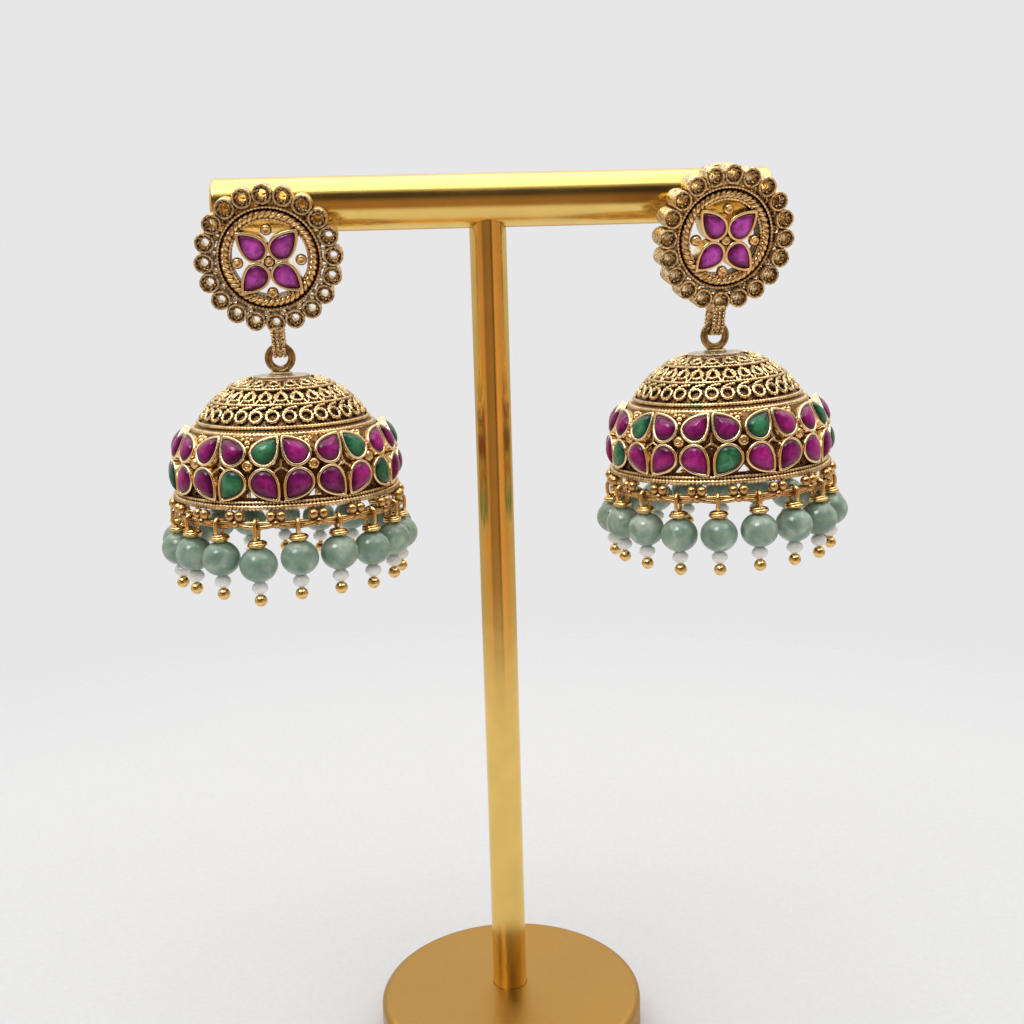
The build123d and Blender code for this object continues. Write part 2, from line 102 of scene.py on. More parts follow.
def centre_of(node):
    low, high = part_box(node)
    return (low + high) / 2


for name, side in SIDES.items():
    hinge = next(j for j in frame["joints"] if j["child"] == f"{name}_bell")
    pivot, across = Vector(hinge["pos_m"]), Vector(hinge["axis"]).normalized()
    beads = [centre_of(f"{name}_jade_bead_{i:02d}") for i in range(1, DROPS + 1)]
    behind = Z_AXIS.cross(across)
    up = pivot - sum(beads, Vector()) / DROPS
    up = (up - behind * up.dot(behind)).normalized()
    bell_y = up.cross(across).normalized()
    rim_centre = pivot - up * PIVOT_HEIGHT * MM
    side["bell"] = facing(bell_y.cross(up), bell_y, up, rim_centre) @ TO_METRES
    tilt, roll = math.radians(side["tilt"]), math.radians(side["roll"])
    face = -behind * math.cos(tilt) - Z_AXIS * math.sin(tilt)
    x = across * math.cos(roll) + face.cross(across) * math.sin(roll)
    y = face.cross(x)
    stud_centre = pivot + (y * PIVOT_DROP - face * CUP_DEPTH / 2) * MM
    side["stud"] = facing(x, y, face, stud_centre) @ TO_METRES
    print(name, "pivot", [round(v / MM, 2) for v in pivot], "bell axis", [round(v, 4) for v in up])

# %% [markdown]
# ## Tools of the bench
#
# A turned shape starts as an outline, drawn by extruding one vertex from point
# to point, and is then spun round the Z axis.  Wires are curves with a round
# bevel, made into meshes.  A beaded wire is the same curve with a radius that
# swells and narrows once for each grain.

# %% Selecting, joining and placing
def only(*pieces):
    """Object mode, with just these pieces selected and the first one active."""
    if bpy.context.mode != "OBJECT":
        bpy.ops.object.mode_set(mode="OBJECT")
    bpy.ops.object.select_all(action="DESELECT")
    for piece in pieces:
        piece.select_set(True)
    bpy.context.view_layer.objects.active = pieces[0]
    return pieces[0]


def editing(piece):
    only(piece)
    bpy.ops.object.mode_set(mode="EDIT")
    bpy.ops.mesh.select_all(action="SELECT")


def finish_mesh(piece, name, angle=40):
    """Welds and turns the faces outwards, smooths what isn't sharp, names it."""
    editing(piece)
    bpy.ops.mesh.remove_doubles(threshold=0.0005)
    bpy.ops.mesh.normals_make_consistent(inside=False)
    only(piece)
    bpy.ops.object.shade_smooth_by_angle(angle=math.radians(angle))
    piece.name = piece.data.name = name
    return piece


def apply_modifier(piece, kind, **values):
    only(piece)
    modifier = piece.modifiers.new(kind, kind)
    for key, value in values.items():
        setattr(modifier, key, value)
    bpy.ops.object.modifier_apply(modifier=modifier.name)


def copied(piece, place):
    """A copy with its own mesh, moved by a matrix."""
    twin = piece.copy()
    twin.data = piece.data.copy()
    twin.data.transform(place)
    bpy.context.scene.collection.objects.link(twin)
    return twin


def moved(piece, place):
    piece.data.transform(place)
    return piece


def joined(pieces, name):
    whole = only(*pieces)
    if len(pieces) > 1:
        bpy.ops.object.join()
    whole.name = whole.data.name = name
    return whole


def discard(*pieces):
    for piece in pieces:
        bpy.data.objects.remove(piece)


def repeated(piece, places, name):
    """One mesh with a copy of the piece at each place; the piece itself goes."""
    whole = joined([copied(piece, place) for place in places], name)
    discard(piece)
    return whole


def at(x=0.0, y=0.0, z=0.0, turn=0.0):
    """A place on the bench, turned round Z by degrees first."""
    return Matrix.Translation((x, y, z)) @ Matrix.Rotation(math.radians(turn), 4, "Z")


def round_axis(count, phase=0.0):
    """Turns about Z, evenly spaced, for what repeats round an axis."""
    return [at(turn=phase + i * 360 / count) for i in range(count)]


def polar(radius, angle, height=0.0):
    """A point at a radius and an angle round Z."""
    return Vector((radius * math.cos(angle), radius * math.sin(angle), height))


def upright(radius, angle, height):
    """A point at a radius and an angle round Y, about a centre at this height."""
    return Vector((radius * math.cos(angle), 0, height + radius * math.sin(angle)))


def even(count, sweep=math.tau):
    """Evenly spaced numbers from zero, without the last one of the sweep."""
    return [sweep * i / count for i in range(count)]


# %% Outlines, spun shapes and wires
GRAIN = (0.5, 1.0)  # share of the radius, at the neck and over a grain
DIMPLE_ANGLE, DIMPLE_DEPTH = 0.3, 0.35  # radians from the top, and a share of the radius


def just_added():
    """The object that an operator has made, with its place moved into its mesh."""
    piece = only(bpy.context.object)
    bpy.ops.object.transform_apply()
    return piece


def drawn(points):
    """An outline drawn by extruding a vertex from point to point."""
    points = [Vector(p) for p in points]
    bpy.ops.mesh.primitive_plane_add(size=0.1, location=points[0])
    piece = just_added()
    editing(piece)
    bpy.ops.mesh.merge(type="CENTER")
    for start, end in zip(points, points[1:]):
        bpy.ops.mesh.extrude_region_move(TRANSFORM_OT_translate={"value": end - start})
    return piece


def turned(name, profile, steps, angle=35):
    """A shape turned on the lathe, from an outline of (radius, height)."""
    piece = drawn([(r, 0, z) for r, z in profile])
    bpy.ops.mesh.select_all(action="SELECT")
    bpy.ops.mesh.spin(steps=steps, angle=math.tau, center=(0, 0, 0), axis=(0, 0, 1))
    return finish_mesh(piece, name, angle)


def wires(name, paths, radius, closed=False, sides=6, swells=None):
    """Round wires along paths; swells are each point's share of the radius."""
    curve = bpy.data.curves.new(name, "CURVE")
    curve.dimensions = "3D"
    curve.bevel_depth = radius
    curve.bevel_resolution = (sides - 4) // 2
    curve.use_fill_caps = True
    for number, path in enumerate(paths):
        spline = curve.splines.new("POLY")
        spline.points.add(len(path) - 1)
        spline.use_cyclic_u = closed
        for i, point in enumerate(path):
            spline.points[i].co = (*point, 1)
            spline.points[i].radius = swells[number][i] if swells else 1
    piece = bpy.data.objects.new(name, curve)
    bpy.context.scene.collection.objects.link(piece)
    only(piece)
    bpy.ops.object.convert(target="MESH")
    piece = bpy.context.object
    bpy.ops.object.shade_smooth()
    piece.name = piece.data.name = name
    return piece


def spaced(path, closed, step):
    """The path again, cut into a whole number of nearly even steps."""
    path = [Vector(p) for p in path]
    if closed:
        path.append(path[0])
    lengths = [0.0]
    for a, b in zip(path, path[1:]):
        lengths.append(lengths[-1] + (b - a).length)
    count = max(3, round(lengths[-1] / step))
    result, k = [], 0
    for i in range(count + (not closed)):
        along = lengths[-1] * i / count
        while k < len(path) - 2 and lengths[k + 1] < along:
            k += 1
        share = (along - lengths[k]) / max(lengths[k + 1] - lengths[k], 1e-9)
        result.append(path[k].lerp(path[k + 1], share))
    return result


def attribute(piece, name, value_of):
    """A number for each vertex, from its place."""
    layer = piece.data.attributes.new(name, "FLOAT", "POINT")
    layer.data.foreach_set("value", [value_of(v.co) for v in piece.data.vertices])


def beaded(name, paths, radius, grain, closed=True, sides=6):
    """Beaded wires: one swelling to each grain, and a mask of 1 at the necks between."""
    points = []
    for path in paths:
        length = sum((b - a).length for a, b in zip(path, [*path[1:], *path[:closed]]))
        grains = max(2, round(length / grain))
        points.append(spaced(path, closed, length / (len(GRAIN) * grains)))
    swells = [[GRAIN[i % len(GRAIN)] for i in range(len(path))] for path in points]
    piece = wires(name, points, radius, closed, sides, swells)
    on_grain = [(point, i % len(GRAIN)) for path in points for i, point in enumerate(path)]
    finder = kdtree.KDTree(len(on_grain))
    for i, (point, _) in enumerate(on_grain):
        finder.insert(point, i)
    finder.balance()
    # the neck mask is what the gilt finishes turn into painted shade between the grains
    attribute(piece, "neck", lambda place: 1.0 - on_grain[finder.find(place)[1]][1])
    return piece


def circle(radius, height, count=96):
    return [polar(radius, a, height) for a in even(count)]


def rope(name, radius, height, thickness, strands, pitch):
    """Wires twisted together and bent into a ring."""
    turns = round(math.tau * radius / (pitch * strands))
    half = thickness * 0.5
    paths = []
    for strand in range(strands):
        path = []
        for angle in even(turns * 4 * strands):
            twist = turns * angle + math.tau * strand / strands
            path.append(polar(radius + half * math.cos(twist), angle, height + half * math.sin(twist)))
        paths.append(path)
    return wires(name, paths, thickness * 0.56, True)


def ball(radius, segments=16, rings=10, place=(0, 0, 0)):
    bpy.ops.mesh.primitive_uv_sphere_add(
        segments=segments, ring_count=rings, radius=radius, location=place
    )
    piece = just_added()
    bpy.ops.object.shade_smooth()
    return piece


def dimpled_ball(radius):
    """A ball with the small crater that a drill left in its top."""
    piece = ball(radius, 20, 12)
    editing(piece)
    bpy.ops.mesh.select_all(action="DESELECT")
    bpy.ops.object.mode_set(mode="OBJECT")
    for vertex in piece.data.vertices:
        vertex.select = vertex.co.z > radius * math.cos(DIMPLE_ANGLE)
    bpy.ops.object.mode_set(mode="EDIT")
    bpy.ops.transform.translate(value=(0, 0, -radius * DIMPLE_DEPTH))
    return only(piece)


print("bench tools ready")

# %% [markdown]
# ## The light and the camera
#
# The set is a white tabletop under one wide soft box, in an even grey light.
# Polished metal shows what stands round it, so reflections see a sky of their own:
# in front a warm floor, a dark room and a pale ceiling, bright walls at the sides
# with one dark strip, pale walls behind, and a small patch that makes the glints.
# The table fades out at its edge, and past it the camera sees a plain pale grey.

# %% The camera
LENS = 43.75
DOWN, TURN, ROLL = math.radians(11.14), math.radians(4.32), math.radians(-1.57)
EYE = Vector((-11.93, -188.87, 126.34)) * MM

ahead = Vector((math.sin(TURN) * math.cos(DOWN), math.cos(TURN) * math.cos(DOWN), -math.sin(DOWN)))
right = ahead.cross(Z_AXIS).normalized()
over = right.cross(ahead)
right, over = (
    right * math.cos(ROLL) + over * math.sin(ROLL),
    over * math.cos(ROLL) - right * math.sin(ROLL),
)
camera = bpy.data.objects.new("camera", bpy.data.cameras.new("camera"))
bpy.context.scene.collection.objects.link(camera)
camera.matrix_world = facing(right, over, -ahead, EYE)
camera.data.lens = LENS
camera.data.clip_start = 0.005
bpy.context.scene.camera = camera
bpy.context.scene.view_settings.view_transform = "Standard"
print("camera at", [round(v, 3) for v in EYE], "lens", LENS)


# %% Nodes in a line or two
def node(tree, kind, **settings):
    new = tree.nodes.new("ShaderNode" + kind)
    for key, value in settings.items():
        setattr(new, key, value)
    return new


def rgba(colour):
    """A colour with its alpha; a single number is a grey."""
    return (*colour, 1) if isinstance(colour, tuple) else (colour, colour, colour, 1)


def put(tree, value, socket):
    """Links an output to a socket, or gives the socket a value."""
    if isinstance(value, bpy.types.NodeSocket):
        tree.links.new(value, socket)
    else:
        socket.default_value = rgba(value) if socket.type == "RGBA" else value


def fill(tree, new, **inputs):
    """Sets or links a node's inputs by name, spaces written as underscores."""
    for key, value in inputs.items():
        put(tree, value, new.inputs[key.replace("_", " ")])
    return new


def maths(tree, operation, *values, kind="Math"):
    new = node(tree, kind, operation=operation)
    for socket, value in zip(new.inputs, values):
        put(tree, value, socket)
    return new.outputs["Value"]


def clamped(result):
    """Keeps a maths node's result between zero and one."""
    result.node.use_clamp = True
    return result


def ramp(tree, factor, *stops, ease="LINEAR"):
    """A colour ramp, from (place, colour) pairs."""
    new = node(tree, "ValToRGB")
    new.color_ramp.interpolation = ease
    while len(new.color_ramp.elements) < len(stops):
        new.color_ramp.elements.new(0.5)
    for element, (place, colour) in zip(new.color_ramp.elements, stops):
        element.position = place
        element.color = rgba(colour)
    tree.links.new(factor, new.inputs[0])
    return new.outputs[0]


def blend(tree, factor, first, second, kind="MIX"):
    """Mixes two colours by a factor."""
    new = node(tree, "Mix", data_type="RGBA", blend_type=kind)
    for number, value in ((0, factor), (6, first), (7, second)):
        put(tree, value, new.inputs[number])
    return new.outputs[2]


def own_place(tree):
    return node(tree, "TexCoord").outputs["Object"]


def noise(tree, scale, detail, **more):
    """Noise laid on the piece itself, so that it moves with the piece."""
    new = node(tree, "TexNoise")
    return fill(tree, new, Vector=own_place(tree), Scale=scale, Detail=detail, **more).outputs["Fac"]


# %% The sky
GLINT_WAY, GLINT_HALF_ANGLE, GLINT = (-0.38, -0.46, 0.80), math.radians(11), 9.0
EVEN_LIGHT, PAST_THE_TABLE = 0.70, (0.80, 0.80, 0.81)

world = bpy.data.worlds.new("studio")
bpy.context.scene.world = world
world.use_nodes = True
sky = world.node_tree
sky.nodes.clear()
way = node(sky, "TexCoord").outputs["Generated"]
heading = fill(sky, node(sky, "SeparateXYZ"), Vector=way).outputs
rise = maths(sky, "MULTIPLY_ADD", heading["Z"], 0.5, 0.5)
front = ramp(
    sky, rise,
    (0.0, (0.70, 0.60, 0.30)),
    (0.22, (0.70, 0.58, 0.36)),
    (0.32, (0.38, 0.21, 0.10)),
    (0.46, (0.42, 0.24, 0.12)),
    (0.58, (0.25, 0.16, 0.10)),
    (0.66, (0.075, 0.050, 0.030)),
    (0.82, (0.06, 0.045, 0.035)),
    (0.90, (1.1, 1.08, 1.0)),
)
back = ramp(
    sky, rise, (0.0, (0.62, 0.50, 0.34)), (0.45, (0.55, 0.48, 0.38)), (0.55, (0.75, 0.73, 0.70)), (0.9, 1.3)
)
LEFT_TO_RIGHT = (
    (0.0, 1.7), (0.14, 1.6), (0.20, 0.75), (0.42, 0.9), (0.57, 0.9),
    (0.60, 0.3), (0.66, 0.3), (0.70, 2.1), (0.80, 1.8), (1.0, 1.5),
)
walls = ramp(sky, maths(sky, "MULTIPLY_ADD", heading["X"], 0.5, 0.5), *LEFT_TO_RIGHT)
front = blend(sky, 1.0, front, walls, "MULTIPLY")
behind = clamped(maths(sky, "MULTIPLY_ADD", heading["Y"], 2.2, 0.75))
mirrored = blend(sky, behind, front, back)
closeness = maths(sky, "DOT_PRODUCT", way, GLINT_WAY, kind="VectorMath")
inside = math.cos(GLINT_HALF_ANGLE)
patch = ramp(sky, closeness, (inside - 0.01, 0.0), (inside + 0.004, 1.0))
mirrored = blend(sky, 1.0, mirrored, blend(sky, patch, 0.0, GLINT), "ADD")
rays = node(sky, "LightPath").outputs
lit = blend(sky, rays["Is Glossy Ray"], EVEN_LIGHT, mirrored)
seen = blend(sky, rays["Is Camera Ray"], lit, PAST_THE_TABLE)
background = fill(sky, node(sky, "Background"), Color=seen)
fill(sky, node(sky, "OutputWorld"), Surface=background.outputs[0])
print("sky nodes:", len(sky.nodes))

# %% The soft box
SOFT_BOX, SOFT_BOX_WATTS = (1.1, 0.74), 3.9
bpy.ops.object.light_add(type="AREA", location=(0, 0.015, 0.64))
soft_box = bpy.context.object
soft_box.name = "soft_box"
soft_box.data.shape = "RECTANGLE"
soft_box.data.size, soft_box.data.size_y = SOFT_BOX
soft_box.data.energy = SOFT_BOX_WATTS
soft_box.data.color = (1.0, 0.985, 0.96)
print("soft box", SOFT_BOX, "m")

# %% The table
TABLE_RADIUS, TABLE_DROP = 0.28, 0.0002  # it lies a hair under the base
bpy.ops.mesh.primitive_circle_add(
    vertices=96, radius=TABLE_RADIUS, fill_type="NGON", location=(0, 0, -TABLE_DROP)
)
table = just_added()
table.name = "table"
paper = bpy.data.materials.new("paper")
paper.use_nodes = True
tree = paper.node_tree
fibres = noise(tree, 900.0, 4.0)
tint = ramp(tree, fibres, (0.3, (0.66, 0.66, 0.665)), (0.7, (0.69, 0.69, 0.695)))
distance = maths(tree, "LENGTH", own_place(tree), kind="VectorMath")
edge = ramp(tree, maths(tree, "DIVIDE", distance, TABLE_RADIUS), (0.55, 1.0), (1.0, 0.0), ease="EASE")
bump = fill(tree, node(tree, "Bump"), Strength=0.05, Distance=0.0001, Height=fibres).outputs[0]
fill(tree, tree.nodes["Principled BSDF"], Base_Color=tint, Roughness=0.85, Alpha=edge, Normal=bump)
table.data.materials.append(paper)
print("table ready")

# %% [markdown]
# ## The finishes
#
# The earrings are gilt and then darkened: the colour stays in the recesses and is
# rubbed off whatever stands proud.  The finishes also paint shade into the
# recesses: one group finds them, by how much of the sky a point sees, and the
# colour darkens there, and one gives the fine unevenness that all hand-finished
# metal has.  Each finish uses them with its own values.  Beaded wires bring a mask
# of their own that adds painted shade at the necks between their grains, and the
# bezels, which are burnished over their stones, show less of the grain.

# %% Groups that the finishes share
def new_group(name, inputs, outputs):
    group = bpy.data.node_groups.new(name, "ShaderNodeTree")
    for label, kind, value in inputs:
        socket = group.interface.new_socket(label, in_out="INPUT", socket_type="NodeSocket" + kind)
        socket.default_value = value
    for label, kind in outputs:
        group.interface.new_socket(label, in_out="OUTPUT", socket_type="NodeSocket" + kind)
    return group, group.nodes.new("NodeGroupInput"), group.nodes.new("NodeGroupOutput")


# The mask of painted shade: one less the share of the sky that a point sees within the reach, roughened by
# noise.
recess_shade, given, result = new_group(
    "recess_shade", [("Reach", "Float", 0.0006), ("Spread", "Float", 0.5)], [("Mask", "Float")]
)
shade = fill(recess_shade, node(recess_shade, "AmbientOcclusion", samples=8), Distance=given.outputs["Reach"])
hidden = maths(recess_shade, "SUBTRACT", 1.0, shade.outputs["AO"])
ragged = maths(recess_shade, "SUBTRACT", noise(recess_shade, 900.0, 3.0), 0.5)
ragged = maths(recess_shade, "MULTIPLY", ragged, given.outputs["Spread"])
fill(recess_shade, result, Mask=clamped(maths(recess_shade, "ADD", hidden, ragged)))

unevenness, given, result = new_group(
    "unevenness",
    [("Scale", "Float", 700.0), ("Depth", "Float", 0.00003)],
    [("Value", "Float"), ("Normal", "Vector")],
)
waves = noise(unevenness, given.outputs["Scale"], 5.0)
bump = fill(unevenness, node(unevenness, "Bump"), Distance=given.outputs["Depth"], Height=waves)
fill(unevenness, result, Value=waves, Normal=bump.outputs[0])


def with_group(tree, group, **inputs):
    new = tree.nodes.new("ShaderNodeGroup")
    new.node_tree = group
    return fill(tree, new, **inputs)


FINISHES = {}


def mark(tree, name):
    """A number that the pieces carry with their points."""
    return node(tree, "Attribute", attribute_name=name).outputs["Fac"]


def finish(name):
    """A new material with its tree and its shader."""
    made = bpy.data.materials.new(name)
    made.use_nodes = True
    FINISHES[name] = made
    return made.node_tree, made.node_tree.nodes["Principled BSDF"]


print("groups:", [g.name for g in bpy.data.node_groups])


# %% Gilt metal, darkened in its recesses, with painted shade there
def antique(name, bright, middle, dark, reach, low, high, rough, wear=0.5):
    """Bright below low on the mask of painted shade, dark above high; reach in mm, wear the grain's share."""
    tree, shader = finish(name)
    shade_mask = with_group(tree, recess_shade, Reach=reach * MM, Spread=0.35).outputs["Mask"]
    grain = with_group(tree, unevenness, Scale=1500.0, Depth=0.00008 * wear).outputs
    # painted shade between the grains of beaded wires, added to the painted shade of the recesses
    neck_shade = maths(tree, "MULTIPLY", mark(tree, "neck"), 0.42)
    shade_mask = clamped(maths(tree, "ADD", shade_mask, neck_shade))
    halfway = (low + high) / 2
    colour = ramp(tree, shade_mask, (low, bright), (halfway, middle), (high, dark))
    mottling = ramp(tree, grain["Value"], (0.38, (0.35, 0.28, 0.22)), (0.56, 1.1))
    colour = blend(tree, wear, colour, mottling, "MULTIPLY")
    metal = ramp(tree, shade_mask, (halfway, 1.0), (high + 0.1, 0.25))
    roughness = ramp(tree, shade_mask, (low, rough), (high, 0.6))
    fill(tree, shader, Base_Color=colour, Metallic=metal, Roughness=roughness, Normal=grain["Normal"])


# the bright, middle and dark colours, the reach, low, high, the roughness and the wear; the dark colour is
# the darkened gilt of the recesses together with the painted shade there
antique("filigree_gold", (1.0, 0.75, 0.41), (0.6, 0.36, 0.15), (0.05, 0.019, 0.008), 0.6, 0.36, 0.9, 0.3)
antique("tarnished_gold", (0.68, 0.43, 0.18), (0.38, 0.19, 0.07), (0.04, 0.014, 0.006), 1.0, 0.24, 0.74, 0.24)
antique("antique_gold", (0.97, 0.7, 0.36), (0.56, 0.32, 0.12), (0.045, 0.015, 0.006), 0.9, 0.33, 0.85, 0.26)
antique("bezel_gold", (1.0, 0.8, 0.49), (0.66, 0.41, 0.18), (0.05, 0.018, 0.007), 0.6, 0.42, 0.92, 0.22, 0.12)
antique("worn_cap", (0.6, 0.5, 0.37), (0.42, 0.3, 0.16), (0.06, 0.026, 0.012), 0.6, 0.4, 0.95, 0.4)
antique("link_gold", (0.5, 0.37, 0.19), (0.3, 0.19, 0.08), (0.045, 0.016, 0.007), 1.0, 0.35, 0.9, 0.34)


# %% Mottled gilt, with painted shade in its recesses: the cups, their little rings, the bail, and the ground painted dark as shade
def mottled(name, bright, middle, dark):
    """Gilt with dark specks, under half a millimetre wide, where the colour still clings."""
    tree, shader = finish(name)
    # painted shade where a point sees little of the sky
    shade_mask = with_group(tree, recess_shade, Reach=0.0006, Spread=0.5).outputs["Mask"]
    specks = noise(tree, 2600.0, 3.0, Roughness=0.6)
    colour = ramp(tree, shade_mask, (0.30, bright), (0.62, middle), (0.90, dark))
    speckled = ramp(tree, specks, (0.36, (0.16, 0.11, 0.09)), (0.47, (0.70, 0.66, 0.60)), (0.60, 1.0))
    colour = blend(tree, 1.0, colour, speckled, "MULTIPLY")
    roughness = ramp(tree, specks, (0.36, 0.65), (0.55, 0.26))
    metal = ramp(tree, specks, (0.36, 0.5), (0.47, 1.0))
    bump = fill(tree, node(tree, "Bump"), Distance=0.00012, Height=specks).outputs[0]
    fill(tree, shader, Base_Color=colour, Metallic=metal, Roughness=roughness, Normal=bump)


mottled("mottled_gold", (1.0, 0.80, 0.48), (0.56, 0.36, 0.16), (0.045, 0.017, 0.008))
# the groove's floor and the bell's wall are painted this dark as shade
mottled("painted_shade_ground", (0.19, 0.095, 0.037), (0.062, 0.026, 0.011), (0.014, 0.005, 0.003))


# %% Polished gold: the stand, the ear posts and the drops' wires
def polished(name, colour, rough, scale, depth, satin=0.0):
    """Gold with smudges that are a little rougher than the rest."""
    tree, shader = finish(name)
    grain = with_group(tree, unevenness, Scale=scale, Depth=depth).outputs
    smudges = with_group(tree, unevenness, Scale=60.0, Depth=0.0).outputs["Value"]
    tint = ramp(tree, grain["Value"], (0.3, tuple(c * 0.9 for c in colour)), (0.7, colour))
    roughness = ramp(tree, smudges, (0.35, rough), (0.7, rough * 1.6 + satin))
    fill(tree, shader, Base_Color=tint, Metallic=1.0, Roughness=roughness, Normal=grain["Normal"])


polished("stand_gold", (0.87, 0.59, 0.17), 0.15, 260.0, 0.000012)
polished("base_gold", (0.45, 0.250, 0.058), 0.28, 3600.0, 0.00001, 0.05)
polished("drop_gold", (0.90, 0.63, 0.26), 0.20, 1200.0, 0.00004)
polished("post_gold", (0.84, 0.62, 0.30), 0.16, 900.0, 0.00001)


# %% Cut stones, jade and pearl
def glossy(name, colour_of, scale, depth, shine, **more):
    """A smooth stone or pearl: colour_of builds its colour, shine its roughness's stops."""
    tree, shader = finish(name)
    scratches = with_group(tree, unevenness, Scale=scale, Depth=depth).outputs
    rough = ramp(tree, scratches["Value"], *shine)
    fill(tree, shader, Base_Color=colour_of(tree), Roughness=rough, Normal=scratches["Normal"], **more)


def glass(dark, body, light):
    """Painted shade at the rim, a painted glow that grows up the dome, and each stone its own tone."""
    def colour_of(tree):
        core = maths(tree, "SUBTRACT", noise(tree, 260.0, 2.0), 0.5)
        # painted glow: the stone lightens up its dome, clouded by noise, and darkens as painted shade at its
        # rim
        painted_glow = maths(tree, "ADD", mark(tree, "dome"), maths(tree, "MULTIPLY", core, 0.9))
        depth = ramp(tree, painted_glow, (0.10, dark), (0.52, body), (0.98, light))
        silk = ramp(tree, noise(tree, 900.0, 4.0, Distortion=0.6), (0.35, 0.55), (0.62, 1.15))
        each = ramp(tree, mark(tree, "chance"), (0.0, 0.60), (0.5, 1.0), (1.0, (1.25, 1.15, 1.2)))
        return blend(tree, 1.0, blend(tree, 1.0, depth, silk, "MULTIPLY"), each, "MULTIPLY")

    return colour_of


def jade(tree):
    dark, body, light = (0.15, 0.24, 0.175), (0.235, 0.34, 0.26), (0.44, 0.52, 0.43)
    cloud = ramp(tree, noise(tree, 330.0, 6.0, Distortion=0.8), (0.30, dark), (0.50, body), (0.72, light))
    veins = ramp(tree, noise(tree, 150.0, 3.0, Distortion=2.5), (0.40, 0.75), (0.60, 1.2))
    return blend(tree, 0.35, cloud, veins, "MULTIPLY")


def nacre(tree):
    cream, white, blue = (0.76, 0.72, 0.66), (0.86, 0.84, 0.81), (0.90, 0.90, 0.92)
    return ramp(tree, noise(tree, 500.0, 3.0), (0.3, cream), (0.55, white), (0.75, blue))


# each stone: the painted shade at its rim, its body colour, and the painted glow at the top of its dome
for name, *colours in (
    ("ruby_glass", (0.030, 0.001, 0.012), (0.140, 0.004, 0.062), (0.34, 0.016, 0.175)),
    ("petal_glass", (0.060, 0.004, 0.024), (0.270, 0.014, 0.135), (0.90, 0.12, 0.72)),
    ("emerald_glass", (0.002, 0.014, 0.007), (0.014, 0.082, 0.036), (0.052, 0.215, 0.095)),
):
    shine = (0.3, 0.07), (0.75, 0.15)
    glossy(name, glass(*colours), 2500.0, 0.000004, shine, IOR=1.5, Specular_IOR_Level=0.3)
glossy(
    "jade", jade, 1800.0, 0.000006, ((0.3, 0.10), (0.7, 0.24)),
    IOR=1.5, Subsurface_Weight=0.5, Subsurface_Scale=0.0025, Coat_Weight=0.15, Coat_Roughness=0.08,
)
glossy(
    "pearl", nacre, 2200.0, 0.00001, ((0.3, 0.18), (0.7, 0.32)),
    Subsurface_Weight=0.2, Subsurface_Scale=0.0006, Coat_Weight=0.5, Coat_Roughness=0.12,
)
print("finishes:", sorted(FINISHES))

# %% [markdown]
# ## From the bench to the stand
#
# A finished piece goes to each earring that has it.  Its place goes into its mesh,
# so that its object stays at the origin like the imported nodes.

# %% Placing a finished piece
GILT = "antique_gold"  # the slot of all the earrings' metal but the drops'


def to_stand(piece, name, body, node_name, slot, look=None):
    """Names and dresses a piece at its place; look is a finish other than the slot's own."""
    piece.name = piece.data.name = name
    piece.data.materials.clear()
    piece.data.materials.append(FINISHES[look or slot])
    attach(piece, body)
    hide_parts(node_name)


# %% Arcs and drop-shaped outlines
def arc(start, middle, end, count):
    """Points of a flat arc through three points, both ends included."""
    (ax, ay), (bx, by), (cx, cy) = start, middle, end
    sa, sb, sc = ax * ax + ay * ay, bx * bx + by * by, cx * cx + cy * cy
    double_area = 2 * (ax * (by - cy) + bx * (cy - ay) + cx * (ay - by))
    x = (sa * (by - cy) + sb * (cy - ay) + sc * (ay - by)) / double_area
    y = (sa * (cx - bx) + sb * (ax - cx) + sc * (bx - ax)) / double_area
    first, mid, last = (math.atan2(p[1] - y, p[0] - x) for p in (start, middle, end))
    sweep = (last - first) % math.tau
    if (mid - first) % math.tau > sweep:
        sweep -= math.tau
    radius = math.hypot(ax - x, ay - y)
    angles = [first + sweep * i / (count - 1) for i in range(count)]
    return [(x + radius * math.cos(a), y + radius * math.sin(a)) for a in angles]


DROP_FULLNESS = 0.8
DROP_WIDEST = 0.803  # the most that sin(t) sin(t / 2) ** DROP_FULLNESS comes to
DROP_POINTS = 28


def drop_outline(head, reach):
    """A drop: a round head of this half width near the origin, and a tip at reach along +Y."""
    half_length, middle = (head + reach) / 2, (reach - head) / 2
    line = []
    for t in even(90):
        across = -head / DROP_WIDEST * math.sin(t) * math.sin(t / 2) ** DROP_FULLNESS
        line.append(Vector((across, middle + half_length * math.cos(t), 0)))
    length = sum((b - a).length for a, b in zip(line, line[1:] + line[:1]))
    return spaced(line, True, length / DROP_POINTS)


def plate(points):
    """A flat face with this outline, left selected in edit mode."""
    piece = drawn([*points, points[0]])
    bpy.ops.mesh.select_all(action="SELECT")
    bpy.ops.mesh.remove_doubles(threshold=0.0005)
    bpy.ops.mesh.edge_face_add()
    return piece


# %% [markdown]
# ## A stone and its bezel
#
# A bezel is a strip of sheet bent round the stone, with its top edge pushed over
# the stone.  The outline is raised, its top face is inset by the lip's width and
# sunk, and a bevel rounds the lip.  The stone has a smaller copy of the outline,
# raised in steps that grow shorter and narrower, as a cabochon's dome does.

# %% Making one bezel and one cabochon
LIP, UNDER_LIP = 0.42, 0.06
DOME_STEPS = 6


def rise_by(height):
    bpy.ops.mesh.extrude_region_move(TRANSFORM_OT_translate={"value": (0, 0, height)})


def bezel(outline, height, root, sunk):
    piece = plate(outline)
    bpy.ops.transform.translate(value=(0, 0, -root))
    rise_by(root + height)
    bpy.ops.mesh.inset(thickness=LIP)
    rise_by(-sunk)
    finish_mesh(piece, "bezel")
    sharp = math.radians(55)
    apply_modifier(piece, "BEVEL", width=0.16, segments=3, limit_method="ANGLE", angle_limit=sharp)
    return finish_mesh(piece, "bezel", 60)


